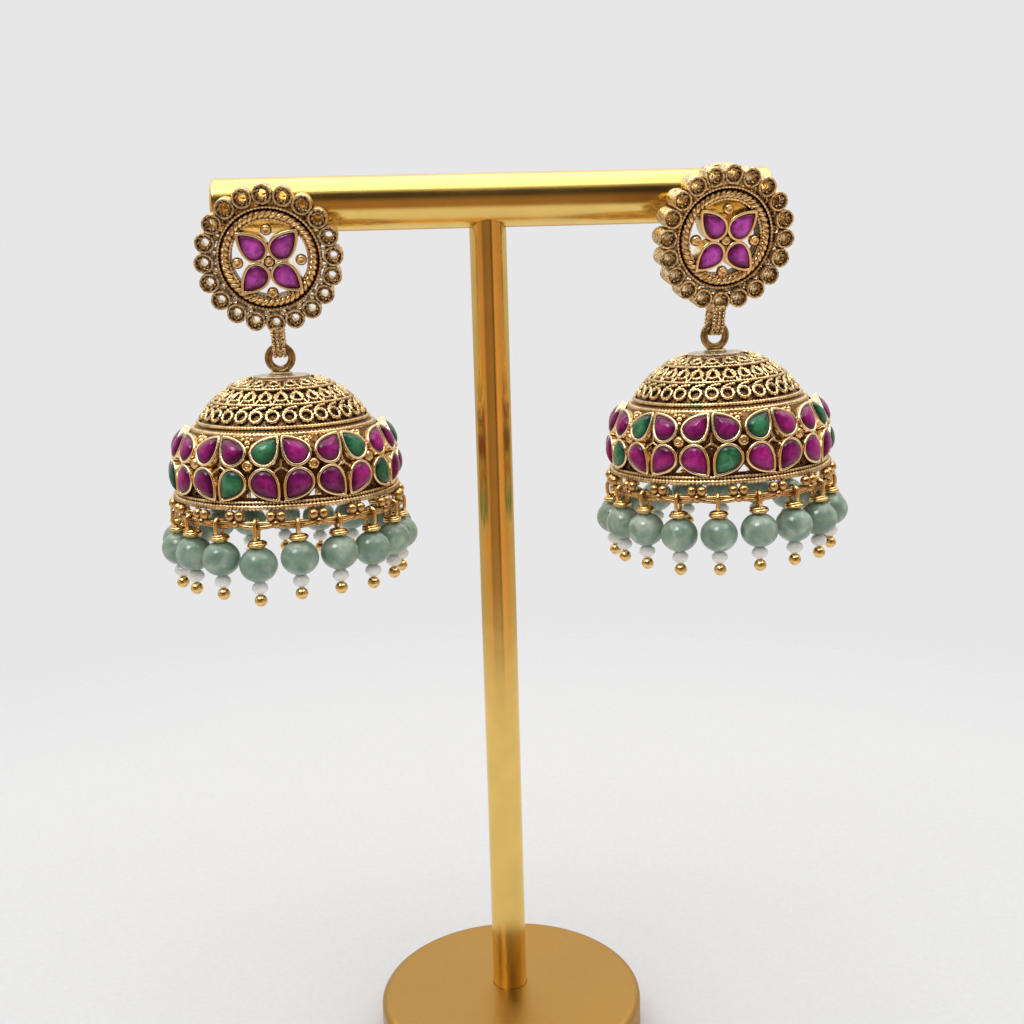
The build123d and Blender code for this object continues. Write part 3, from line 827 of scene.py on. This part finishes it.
def cabochon(head, reach, foot, girdle, dome):
    """A domed stone: straight up from its foot to its girdle, then rounded over."""
    kept = 1 - (LIP - UNDER_LIP) / head
    outline = drop_outline(head * kept, reach * kept)
    middle = sum(outline, Vector()) / len(outline)
    piece = plate(outline)
    bpy.ops.transform.translate(value=(0, 0, foot))
    rise_by(girdle - foot)
    rise, share = 0.0, 1.0
    for angle in even(DOME_STEPS, math.pi / 2)[1:]:
        rise_by(dome * (math.sin(angle) - rise))
        bpy.ops.transform.resize(value=(math.cos(angle) / share,) * 2 + (1,), center_override=middle)
        rise, share = math.sin(angle), math.cos(angle)
    rise_by(dome * (1 - rise))
    bpy.ops.mesh.merge(type="CENTER")
    finish_mesh(piece, "cabochon", 60)
    # the height up the dome, which the stone finishes turn into painted glow and painted rim shade
    attribute(piece, "dome", lambda place: max(0.0, (place.z - girdle) / dome))
    return piece


# %% [markdown]
# ## The stud
#
# The stud is built in rings.  From the outside in: twenty little cups with grains
# in their mouths and small rings between them, a beaded wall, a groove whose
# ground is painted dark as shade, a twisted rope, a beaded wire, and in the middle
# four drop-shaped stones and five balls.

# %% The stud's sizes
CUP_COUNT, CUP_CIRCLE = 20, 9.25
CUP_GRAIN, CUP_GRAIN_CIRCLE, CUP_GRAIN_HEIGHT = 0.22, 0.80, 2.62
SMALL_RING_CIRCLE = 7.85
WALL_INNER, WALL_OUTER, WALL_TOP = 7.25, 7.55, 2.15
GROOVE_FLOOR = 1.6
BED_INNER, BED_OUTER, BED_HEIGHT = 5.5, 6.8, 1.9  # the bed of the rope
PETAL_HEAD, PETAL_HEAD_CENTRE, PETAL_TIP = 1.95, 2.72, 6.25
PETAL_BASE, PETAL_TOP, PETAL_FLOOR = 0.6, 3.1, 1.7
STUD_BALL, STUD_BALL_CIRCLE, STUD_BALL_HEIGHT = 0.85, 4.55, 2.3
FLOWER_DROP = -0.35  # the flower sits a little low in its ring
RING_WIRE, RING_CIRCLE = 0.55, 1.72
BAIL_WIDTH, BAIL_THICKNESS, BAIL_SLOT, BAIL_PLAY, BAIL_ROOT = 1.7, 0.8, 0.83, 0.13, 9.9
BAIL_GRAIN, BAIL_GRAIN_PITCH, BAIL_GRAIN_SPREAD = 0.32, 0.56, 0.68

# %% One cup with its ring of grains, and twenty of them
cup = turned(
    "cup",
    [
        (0.52, 0), (1.36, 0), (1.46, 3.0), (1.40, CUP_DEPTH),
        (1.16, CUP_DEPTH), (1.08, 2.6), (0.56, 2.2), (0.52, 0),
    ],
    20,
)
grain_places = [turn @ at(CUP_GRAIN_CIRCLE, 0, CUP_GRAIN_HEIGHT) for turn in round_axis(8)]
grains = repeated(ball(CUP_GRAIN, 8, 5), grain_places, "grains")
cup_places = [turn @ at(CUP_CIRCLE) for turn in round_axis(CUP_COUNT, 90)]
cups = repeated(joined([cup, grains], "cup"), cup_places, "cups")
print("cups:", len(cups.data.polygons), "faces")

# %% Rings between the cups, and the walls of the groove
between = [turn @ at(SMALL_RING_CIRCLE) for turn in round_axis(CUP_COUNT, 90 + 180 / CUP_COUNT)]
small_ring = turned(
    "small_ring", [(0.3, 0.5), (0.62, 0.5), (0.66, 2.3), (0.52, 2.5), (0.34, 2.3), (0.3, 0.5)], 14
)
small_rings = repeated(small_ring, between, "small_rings")
groove = turned(
    "groove",
    [
        (BED_INNER, 0), (WALL_OUTER, 0), (WALL_OUTER, WALL_TOP), (WALL_INNER, WALL_TOP),
        (WALL_INNER, GROOVE_FLOOR), (BED_OUTER, GROOVE_FLOOR), (BED_OUTER, BED_HEIGHT),
        (BED_INNER, BED_HEIGHT), (BED_INNER, 0),
    ],
    80,
)
groove_wires = joined(
    [
        beaded("wall_wire", [circle(WALL_INNER + 0.14, WALL_TOP + 0.15, 120)], 0.3, 0.52),
        rope("stud_rope", radius=6.36, height=2.3, thickness=0.6, strands=2, pitch=0.84),
        beaded("flower_wire", [circle(5.72, 2.3)], 0.3, 0.52),
    ],
    "groove_wires",
)

# %% The flower: bezels, stones and balls
PETAL_REACH = PETAL_TIP - PETAL_HEAD_CENTRE
flower = at(0, FLOWER_DROP)
petal = bezel(drop_outline(PETAL_HEAD, PETAL_REACH), PETAL_TOP, -PETAL_BASE, PETAL_TOP - PETAL_FLOOR)
petal_stone = cabochon(PETAL_HEAD, PETAL_REACH, PETAL_FLOOR, PETAL_TOP - 0.3, 0.75)
petal_places = [flower @ turn @ at(0, PETAL_HEAD_CENTRE) for turn in round_axis(4, -45)]
petal_bezels = repeated(petal, petal_places, "petal_bezels")
petal_stones = repeated(petal_stone, petal_places, "petal_stones")
ball_places = [flower @ at(0, 0, STUD_BALL_HEIGHT)]
ball_places += [flower @ turn @ at(STUD_BALL_CIRCLE, 0, STUD_BALL_HEIGHT) for turn in round_axis(4)]
flower_balls = repeated(dimpled_ball(STUD_BALL), ball_places, "flower_balls")
print("flower:", len(petal_bezels.data.polygons), "faces in its bezels")

# %% [markdown]
# The bail is a flat strip bent into a U behind the lowest cup.  The strip is a
# round wire made twice as wide as it is thick, and rows of three grains lie across
# its outside.  The ring of the bell hangs in the bend.

# %% The bail
bail_middle = CUP_DEPTH / 2
bail_half = BAIL_SLOT + BAIL_THICKNESS / 2
bend = -(PIVOT_DROP + RING_WIRE + BAIL_PLAY - BAIL_SLOT)


def bail_line(reach, step):
    """The bail's side view: down in front, round the bend and up behind."""
    front, back = bail_middle + reach, bail_middle - reach
    down = [(y - BAIL_ROOT, front) for y in even(12, bend + BAIL_ROOT)]
    around = arc((bend, front), (bend - reach, bail_middle), (bend, back), 17)
    up = [(y, back) for y, _ in reversed(down)]
    return spaced([Vector((0, y, z)) for y, z in [*down, *around, *up]], False, step)


strip = wires("bail", [bail_line(bail_half, 0.3)], BAIL_THICKNESS / 2, sides=10)
editing(strip)
bpy.ops.transform.resize(value=(BAIL_WIDTH / BAIL_THICKNESS, 1, 1), center_override=(0, 0, 0))
only(strip)
rows = bail_line(bail_half + BAIL_THICKNESS / 2 - 0.06, BAIL_GRAIN_PITCH)
grain_places = [at(BAIL_GRAIN_SPREAD * i, *row.yz) for row in rows[1:-1] for i in (-1, 0, 1)]
bail = joined([strip, repeated(ball(BAIL_GRAIN, 8, 5), grain_places, "bail_grains")], "bail")
print("bail:", len(grain_places), "grains")

# %% Both studs
STUD_METAL = (
    (cups, "mottled_gold"),
    (small_rings, "mottled_gold"),
    (bail, "mottled_gold"),
    (groove_wires, "filigree_gold"),
    (petal_bezels, "bezel_gold"),
    (flower_balls, "antique_gold"),
    # the groove's ground is painted dark as shade
    (groove, "painted_shade_ground"),
)
for name, side in SIDES.items():
    for piece, look in STUD_METAL:
        own = copied(piece, side["stud"])
        to_stand(own, f"{name}_stud_{piece.name}", "stand", f"{name}_stud", GILT, look)
    rubies = copied(petal_stones, side["stud"])
    to_stand(rubies, f"{name}_stud_stones", "stand", f"{name}_stud_rubies", "ruby_glass", "petal_glass")
discard(petal_stones, *(piece for piece, _ in STUD_METAL))
print("studs placed")

# %% [markdown]
# ## The bell
#
# The wall of the bell is one spun shell.  Its outline goes up the outside from the
# rim, over the band and the dome to the cap, and comes back down inside.  The
# outside of the dome lies a little deeper than the filigree that covers it.

# %% The bell's sizes
RIM_CIRCLE = 16.45
BAND_RADIUS, BAND_FOOT, BAND_BOTTOM, BAND_STRAIGHT, BAND_ROUND = 16.1, -0.3, 0.3, 4.0, 7.72
CROWN_HEIGHT, WALL = 10.45, 0.8
DOME_MIDDLE, CAP_RADIUS, CAP_HEIGHT = (8.96, 14.6), 4.05, 16.85
COLLAR_RADIUS, COLLAR_HEIGHT = 1.65, 0.6
FILIGREE_DEPTH = 0.4
BAND_INSET = BAND_RADIUS - BAND_ROUND
BAND_UPRIGHT = BAND_STRAIGHT - BAND_BOTTOM
crown_angle = math.asin((CROWN_HEIGHT - BAND_STRAIGHT) / BAND_ROUND)
crown_radius = BAND_INSET + BAND_ROUND * math.cos(crown_angle)


def dome_line(depth, count):
    """Radius and height from the crown to the cap, a depth inside the dome."""
    middle = (DOME_MIDDLE[0] - 0.6 * depth, DOME_MIDDLE[1] - 0.8 * depth)
    start = (crown_radius - depth * math.cos(crown_angle), CROWN_HEIGHT - depth * math.sin(crown_angle))
    return arc(start, middle, (CAP_RADIUS, CAP_HEIGHT - depth), count)


def band_line(depth, count):
    """Radius and height from the foot of the band to the crown."""
    radius = BAND_ROUND - depth
    turn = [crown_angle * i / (count - 1) for i in range(count)]
    curve = [(BAND_INSET + radius * math.cos(a), BAND_STRAIGHT + radius * math.sin(a)) for a in turn]
    return [(BAND_RADIUS - depth, BAND_FOOT), *curve]


# %% The wall, and the openings in its band
outside = band_line(0.15, 7) + dome_line(FILIGREE_DEPTH, 9)
inside = band_line(WALL, 7) + dome_line(WALL, 9)
shell = turned("shell", [*outside, *reversed(inside), outside[0]], 132)


def band_place(along, out=0.0):
    """A frame on the band at azimuth zero: +X along it, +Y up it, +Z out of it."""
    slope = max(0.0, along - BAND_UPRIGHT) / BAND_ROUND
    radius = BAND_INSET + BAND_ROUND * math.cos(slope)
    height = BAND_BOTTOM + min(along, BAND_UPRIGHT) + BAND_ROUND * math.sin(slope)
    angle = -math.pi / 2 + out / radius
    sideways = polar(1, angle + math.pi / 2)
    outward = polar(math.cos(slope), angle, math.sin(slope))
    return facing(sideways, outward.cross(sideways), outward, polar(radius, angle, height))


def punch(name, *corners):
    """A straight cutter through the band, from its flat corners."""
    piece = plate([Vector((x, y, -2)) for x, y in corners])
    rise_by(4)
    return finish_mesh(piece, name)


HALF_PITCH = math.pi * BAND_RADIUS / DIAMONDS
WINDOW_HEIGHT, GAP_HEIGHT = 5.2, 1.35
window = punch("window", (0.8, 0), (0, 0.9), (-0.8, 0), (0, -0.9))
gap = punch("gap", (-1.05, -0.55), (1.05, -0.55), (0, 0.6))
OPENINGS = ((window, band_place(WINDOW_HEIGHT)), (gap, band_place(GAP_HEIGHT, HALF_PITCH)))
print("wall:", len(shell.data.polygons), "faces")

# %% [markdown]
# The filigree is beaded wire laid on the dome in three rows.  In the lowest row
# each wire is a curl, a ring whose end runs up to the next row's wire.  In the
# two rows above, plain rings stand side by side, and a thinner wire crosses up and
# down behind them.  A beaded and a milled wire go round the foot of the dome.
# Each curl is drawn flat, in millimetres, and then laid on the dome: across
# becomes an angle round the axis, and up becomes a distance along the dome's line.

# %% Laying a flat drawing on the dome
DOME_POINTS = [Vector(p) for p in dome_line(-0.02, 60)]
dome_steps = [(b - a).length for a, b in zip(DOME_POINTS, DOME_POINTS[1:])]
DOME_LENGTH = sum(dome_steps)


def on_dome(along):
    """Radius and height, a distance up the dome from its crown."""
    for start, end, step in zip(DOME_POINTS, DOME_POINTS[1:], dome_steps):
        if along <= step or end is DOME_POINTS[-1]:
            return start.lerp(end, along / step)
        along -= step


def laid(drawing, azimuth, along):
    """A drawing's points on the dome, round a point at this azimuth and distance."""
    middle = on_dome(along).x
    result = []
    for x, y in drawing:
        radius, height = on_dome(along + y)
        result.append(polar(radius, azimuth + x / middle, height))
    return result


def curl(radius, tail_end, tail_bend):
    """A ring that starts as a tail: from the tail's end, round the ring from its left side."""
    start = math.radians(165)
    first, bend, last = Vector(tail_end), Vector(tail_bend), polar(radius, start).xy
    tail = [first.lerp(bend, t).lerp(bend.lerp(last, t), t) for t in (0, 0.15, 0.3, 0.45, 0.6, 0.75, 0.9)]
    ring = [polar(radius, start + math.radians(a)).xy for a in range(0, 346, 15)]
    return [*tail, *ring]


def ring_drawing(radius, squeeze=1.0):
    return [(radius * math.cos(a), radius * squeeze * math.sin(a)) for a in even(20)]


# %% The three rows of the filigree
WIRE, GRAIN_PITCH = 0.33, 0.5
CURLS, MIDDLE_RINGS, TOP_RINGS = 31, 25, 17
dice = random.Random(7)


def row_paths(drawing, count, centre, phase=0.0):
    """The drawing, repeated round the dome with the small errors of a hand."""
    paths = []
    for i in range(count):
        azimuth = math.tau * (i + phase) / count + dice.uniform(-0.008, 0.008)
        paths.append(laid(drawing, azimuth, DOME_LENGTH * centre + dice.uniform(-0.05, 0.05)))
    return paths


def zigzag(count, low, high, phase=0.0):
    """One wire that crosses a row of the dome up and down, between its rings."""
    path = []
    for i in range(count * 4):
        share = 0.5 - 0.5 * math.cos(math.pi * i / 2)
        radius, height = on_dome(DOME_LENGTH * (low + (high - low) * share))
        path.append(polar(radius, math.tau * (i / 4 + phase) / count, height))
    return path


curl_row = row_paths(curl(0.88, (1.35, 1.55), (-0.75, 1.5)), CURLS, 0.165)
middle_row = row_paths(ring_drawing(0.84, 1.02), MIDDLE_RINGS, 0.485)
top_row = row_paths(ring_drawing(0.74), TOP_RINGS, 0.775, 0.5)
lattice = [zigzag(MIDDLE_RINGS, 0.34, 0.62, 0.5), zigzag(TOP_RINGS, 0.66, 0.91)]
edges = [circle(*on_dome(DOME_LENGTH * share), 120) for share in (0.345, 0.645)]
crown = circle(crown_radius - 0.05, CROWN_HEIGHT + 0.08, 160)
milled = circle(crown_radius + 0.63, CROWN_HEIGHT - 0.86, 160)
filigree = joined(
    [
        beaded("curls", curl_row, WIRE, GRAIN_PITCH, closed=False),
        beaded("middle_rings", middle_row, WIRE, GRAIN_PITCH),
        beaded("top_rings", top_row, WIRE, GRAIN_PITCH),
        beaded("lattice_wires", lattice, WIRE * 0.72, GRAIN_PITCH),
        beaded("row_wires", edges, WIRE, GRAIN_PITCH),
        beaded("crown_wire", [crown], 0.34, GRAIN_PITCH, sides=8),
        beaded("milled_wire", [milled], 0.47, 0.58, sides=8),
    ],
    "filigree",
)
print("filigree:", len(filigree.data.polygons), "faces")

# %% [markdown]
# ## The top of the bell
#
# A worn disc closes the dome.  A collar stands on it, and the ring that hangs on
# the bail is two wires bent side by side and soldered.

# %% Cap, collar and ring
def disc(name, edge, steps):
    """A turned disc on top of the dome, from its edge as (radius, height above the cap)."""
    outline = [(0, edge[0][1]), *edge, (0, edge[-1][1])]
    return turned(name, [(radius, CAP_HEIGHT + height) for radius, height in outline], steps)


STRAND, STRAND_OFFSET = 0.33, 0.26  # the ring is two strands side by side
cap_rim = CAP_RADIUS + 0.1
cap = disc("cap", [(CAP_RADIUS, -0.5), (cap_rim, -0.4), (cap_rim, 0.05), (CAP_RADIUS, 0.15)], 72)
wide, foot, top = COLLAR_RADIUS, COLLAR_RADIUS - 0.1, COLLAR_RADIUS - 0.2
collar = disc("collar", [(foot, 0), (wide, 0.15), (wide, 0.4), (top, COLLAR_HEIGHT)], 40)
circles = [RING_CIRCLE - STRAND_OFFSET, RING_CIRCLE + STRAND_OFFSET]
strands = [[upright(radius, a, PIVOT_HEIGHT - RING_CIRCLE) for a in even(48)] for radius in circles]
ring = wires("ring", strands, STRAND, True, 10)
cap_edge = wires("cap_edge", [circle(CAP_RADIUS + 0.08, CAP_HEIGHT - 0.42, 90)], 0.16, True)
collar_edge = beaded("collar_edge", [circle(COLLAR_RADIUS, CAP_HEIGHT + 0.12, 48)], 0.17, 0.36)
top_gold = joined([collar, ring, cap_edge, collar_edge], "top_gold")

# %% [markdown]
# ## Rim, gallery and rail
#
# Milled ribs and a line of beads edge the rim.  Under it hang clusters of three
# balls, and two smooth wires run between the lowest balls, bowed like a garland.

# %% Rim and gallery
rim = joined(
    [
        beaded("rim_ribs", [circle(RIM_CIRCLE, -0.08, 160)], 0.5, 0.56, sides=10),
        beaded("rim_beads", [circle(RIM_CIRCLE - 0.12, 0.58, 160)], 0.3, 0.5),
        wires("rim_lining", [circle(RIM_CIRCLE - 0.45, -0.1, 120)], 0.4, True),
    ],
    "rim",
)
PAIR_BALL, PAIR_SPREAD, PAIR_Z, LOW_BALL = 0.75, 0.72, -1.24, 0.65
RAIL_CIRCLE, RAIL_Z, RAIL, RAIL_OFFSET = 16.9, -2.38, 0.33, 0.31
RAIL_MIDDLE = RAIL_CIRCLE * math.cos(math.pi / DROPS)
pair = [ball(PAIR_BALL, 18, 11, (x, -RAIL_CIRCLE, PAIR_Z)) for x in (-PAIR_SPREAD, PAIR_SPREAD)]
cluster = joined([*pair, ball(LOW_BALL, 18, 11, (0, -RAIL_CIRCLE, RAIL_Z))], "cluster")


def rail_wire(offset):
    """One wire between two lowest balls: straight from above, bowed from the front."""
    step, path = math.tau / DROPS, []
    for share in (i / 8 for i in range(9)):
        bow = math.sin(math.pi * share)
        height = RAIL_Z + offset * (0.4 + 0.6 * bow) - 0.2 * bow
        path.append(polar(RAIL_MIDDLE / math.cos(step * (share - 0.5)), step * share - math.pi / 2, height))
    return path


rails = wires("rails", [rail_wire(-RAIL_OFFSET), rail_wire(RAIL_OFFSET)], RAIL, sides=8)
gallery = joined([cluster, rails], "gallery")
print("gallery unit:", len(gallery.data.polygons), "faces")

# %% [markdown]
# ## A drop
#
# A drop is threaded on one headed pin.  Its end ball carries a seed pearl and a
# jade bead, and above them the wire is wound round itself and bent into a loop
# over the rail.

# %% Loop, wrap, pin and end ball
LOOP_WIRE, LOOP_HALF_WIDTH, LOOP_CLEARANCE, RAIL_WIRE = 0.28, 0.83, 0.05, 0.35
WRAP_HEIGHT, WRAP_WIRE, THREAD_GAP, PIN_RADIUS = 0.95, 0.29, 0.08, 0.3
BEAD_RADIUS, BEAD_HEIGHT, PEARL_RADIUS, PEARL_HEIGHT, END_BALL = 2.74, 4.76, 1.24, 1.75, 0.9
COIL_STEPS, COIL_STEPS_A_TURN = 26, 12
BEND_TOP = RAIL_WIRE + LOOP_CLEARANCE + LOOP_WIRE - LOOP_HALF_WIDTH
PEARL_BELOW = BEAD_HEIGHT / 2 + THREAD_GAP + PEARL_HEIGHT / 2  # its centre under the bead's


def pin_piece(bead_centre):
    """One drop's metal, for a bead at this height under the rail's centre."""
    wrap_foot = bead_centre + BEAD_HEIGHT / 2 + THREAD_GAP
    bend = wrap_foot + WRAP_HEIGHT + LOOP_HALF_WIDTH - LOOP_WIRE / 2
    half_turn = [math.pi * i / 10 for i in range(11)]
    over = [upright(LOOP_HALF_WIDTH, a, BEND_TOP) for a in half_turn]
    under = [upright(LOOP_HALF_WIDTH, a + math.pi, bend) for a in half_turn]
    coil = []
    for i in range(COIL_STEPS + 1):
        reach = 0.75 + 0.42 * math.sin(math.pi * i / COIL_STEPS)
        height = wrap_foot + 0.16 + (WRAP_HEIGHT - 0.3) * i / COIL_STEPS
        coil.append(polar(reach, math.tau * i / COIL_STEPS_A_TURN, height))
    foot = bead_centre - PEARL_BELOW - PEARL_HEIGHT / 2 - THREAD_GAP - END_BALL
    core = [Vector((0, 0, z)) for z in (foot, (foot + wrap_foot) / 2, wrap_foot + WRAP_HEIGHT)]
    return joined(
        [
            wires("link", [[*over, *under]], LOOP_WIRE, True, 8),
            wires("wrap", [coil], WRAP_WIRE, sides=8),
            wires("core", [core], PIN_RADIUS),
            ball(END_BALL, 20, 12, (0, 0, foot)),
        ],
        "pin",
    )


# %% Bead and pearl
BORE = 0.42


def bored_bead(name, radius, height, steps):
    """A bead turned about its bore: a little flat at both ends."""
    flat = height / 2
    crown = flat * 1.06
    side = [math.asin(flat / crown) * (-1 + 2 * i / 12) for i in range(13)]
    outline = [(radius * math.cos(a), crown * math.sin(a)) for a in side]
    return turned(name, [(BORE, -flat), *outline, (BORE, flat), (BORE, -flat)], steps, 50)


bead = bored_bead("bead", BEAD_RADIUS, BEAD_HEIGHT, 32)
pearl = bored_bead("pearl", PEARL_RADIUS, PEARL_HEIGHT, 20)


def lopsided(piece, seed, amount):
    """Pulls a round shape a little out of true, as a stone or pearl is."""
    draw = random.Random(seed)
    pulls = []
    for _ in range(3):
        way = Vector((draw.uniform(-1, 1), draw.uniform(-1, 1), draw.uniform(-1, 1))).normalized()
        pulls.append((way, draw.uniform(-1, 1)))
    for vertex in piece.data.vertices:
        out = vertex.co.normalized()
        bend = sum(size * max(0.0, out.dot(way)) ** 2 for way, size in pulls)
        vertex.co.x *= 1 + amount * (bend - 1.0)
        vertex.co.y *= 1 + amount * (bend - 1.0)
    return piece


print("bead:", len(bead.data.polygons), "faces")

# %% [markdown]
# ## Putting the bells together
#
# The band's stones stand in groups of four round each opening, and the two
# earrings carry the red and green ones in their own order.

# %% Bezels, stones and balls of the band
STONES = {
    "upper": {"head": 2.0, "along": (7.0, 9.55), "out": (2.2, 0.3)},
    "lower": {"head": 2.1, "along": (3.1, 0.45), "out": (2.4, 0.3)},
}
BEZEL_HEIGHT, BEZEL_ROOT = 0.75, 0.5


def stone_place(stone, hand):
    """The plane of a stone's head: +Y to its tip, +Z out of the band."""
    (along, tip_along), (out, tip_out) = stone["along"], stone["out"]
    head = band_place(along, hand * out)
    sideways, up, outward = (head.col[i].to_3d() for i in range(3))
    toward = (sideways * hand * (tip_out - out) + up * (tip_along - along)).normalized()
    return facing(toward.cross(outward), toward, outward, head.translation)


for stone in STONES.values():
    (along, tip_along), (out, tip_out) = stone["along"], stone["out"]
    head, reach = stone["head"], math.hypot(tip_out - out, tip_along - along)
    stone["bezel"] = bezel(drop_outline(head, reach), BEZEL_HEIGHT, BEZEL_ROOT, 0.7)
    stone["cabochon"] = cabochon(head, reach, 0.1, BEZEL_HEIGHT - 0.3, 0.95)
band_ball = dimpled_ball(0.85)
shoulder_grains = [(0, 8.75, 0.46), (-0.62, 9.3, 0.34), (0.62, 9.3, 0.34), (0, 9.45, 0.3), (0, 8.05, 0.3)]
foot_grains = [(-0.5, 2.35, 0.3), (0.5, 2.35, 0.3)]
grains = [(across - HALF_PITCH, along, size) for across, along, size in shoulder_grains] + foot_grains
arms = [[Vector((0, 0, -0.25)), Vector((x, y, -0.25))] for x, y in ((0, 1.05), (-0.9, -0.55), (0.9, -0.55))]
ornament = joined(
    [moved(ball(size, 10, 6), band_place(along, across)) for across, along, size in grains]
    + [moved(wires("window_wire", arms, 0.17), band_place(WINDOW_HEIGHT))],
    "ornament",
)
print("ornament unit:", len(ornament.data.polygons), "faces")


# %% What goes round a bell
def hang_on(name, parts, label, stands_for="bell", slot=GILT, look=None):
    """Joins parts that are at their places round the bench, and puts them on a bell."""
    whole = joined(parts, label)
    own = copied(whole, SIDES[name]["bell"])
    discard(whole)
    to_stand(own, f"{name}_{label}", f"{name}_bell", f"{name}_{stands_for}", slot, look)


def pierced_wall(diamonds):
    """The shell with its windows and gaps cut."""
    wall = copied(shell, Matrix())
    cuts = joined([copied(cutter, turn @ place) for cutter, place in OPENINGS for turn in diamonds], "cuts")
    apply_modifier(wall, "BOOLEAN", object=cuts, operation="DIFFERENCE", solver="EXACT")
    discard(cuts)
    return finish_mesh(wall, "wall", 35)


def coloured(stone, place, chance):
    """A cabochon at its place, with a number that sets how light it is."""
    twin = copied(stone, place)
    attribute(twin, "chance", lambda _: chance)
    return twin


def band_stones(side, diamonds, draw):
    """The band's bezels, and its stones by the letter of their colour."""
    bezels, stones = [], {"R": [], "G": []}
    for row, stone in STONES.items():
        hands = [stone_place(stone, hand) for hand in (-1, 1)]
        bezels += [copied(stone["bezel"], turn @ hand) for turn in diamonds for hand in hands]
        for turn, letters in zip(diamonds, side[row].split()):
            for hand, letter in zip(hands, letters):
                stones[letter].append(coloured(stone["cabochon"], turn @ hand, draw.random()))
    return bezels, stones


def hang_drops(name, draw):
    """Hangs the jade beads one by one, and then the pins and pearls that go with them."""
    pins, pearls = [], []
    for number in range(1, DROPS + 1):
        node_name = f"{name}_jade_bead_{number:02d}"
        hang = SIDES[name]["bell"].inverted() @ centre_of(node_name)
        spin = Matrix.Rotation(draw.uniform(0, math.tau), 4, "Z")
        rail = Matrix.Rotation(math.atan2(hang.y, hang.x), 4, "Z") @ at(RAIL_MIDDLE, 0, RAIL_Z)
        below = hang.z - RAIL_Z
        pins.append(moved(pin_piece(below), rail))
        stone = moved(lopsided(copied(bead, spin), node_name, 0.02), rail @ at(0, 0, below))
        hang_on(name, [stone], f"jade_{number:02d}", f"jade_bead_{number:02d}", "jade")
        seed = lopsided(copied(pearl, spin), f"{node_name} pearl", 0.06)
        pearls.append(moved(seed, rail @ at(0, 0, below - PEARL_BELOW)))
    hang_on(name, pins, "drop_wires", "drop_pins", "drop_gold")
    hang_on(name, pearls, "pearls", "seed_pearls", "pearl")


# %% Both bells
for name, side in SIDES.items():
    draw = random.Random(name)
    diamonds = round_axis(DIAMONDS, side["diamond_phase"])
    # the wall that shows through the filigree is painted dark as shade
    hang_on(name, [pierced_wall(diamonds)], "bell_wall", look="painted_shade_ground")
    bezels, stones = band_stones(side, diamonds, draw)
    balls = [copied(band_ball, turn @ band_place(5.4, -HALF_PITCH)) for turn in diamonds]
    hang_on(name, bezels, "band_bezels", look="bezel_gold")
    hang_on(name, balls, "band_balls")
    hang_on(name, [copied(ornament, turn) for turn in diamonds], "band_ornament")
    hang_on(name, stones["R"], "band_ruby_stones", "band_rubies", "ruby_glass")
    hang_on(name, stones["G"], "band_emerald_stones", "band_emeralds", "emerald_glass")
    for piece, label, look in (
        (filigree, "filigree", "filigree_gold"),
        (cap, "cap", "worn_cap"),
        (top_gold, "ring_and_collar", "link_gold"),
        (rim, "rim", "filigree_gold"),
    ):
        hang_on(name, [copied(piece, Matrix())], label, look=look)
    first = side["bell"].inverted() @ centre_of(f"{name}_jade_bead_01")
    units = round_axis(DROPS, math.degrees(math.atan2(first.x, -first.y)) - 180 / DROPS)
    clusters = [copied(gallery, turn) for turn in units]
    hang_on(name, clusters, "gallery_balls", "gallery", look="tarnished_gold")
    hang_drops(name, draw)
    print(name, "bell done; first bead", [round(v, 2) for v in first])

# %% The bench is cleared
discard(shell, window, gap, filigree, cap, top_gold, rim, gallery, bead, pearl, band_ball, ornament)
discard(*(stone[kind] for stone in STONES.values() for kind in ("bezel", "cabochon")))

# %% [markdown]
# ## The stand
#
# The stand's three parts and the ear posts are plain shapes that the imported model
# already has, so they stay and take a finish.  The bar and the post are polished;
# the base is brushed, which makes its reflections softer.

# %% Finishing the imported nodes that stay
PLAIN_NODES = {
    "base_gold": ["stand_base"],
    "stand_gold": ["stand_post", "stand_bar"],
    "post_gold": ["left_ear_post", "left_ear_nut", "right_ear_post", "right_ear_nut"],
}
for look, node_names in PLAIN_NODES.items():
    for node_name in node_names:
        for slot in frame["nodes"][node_name].material_slots:
            slot.material = FINISHES[look]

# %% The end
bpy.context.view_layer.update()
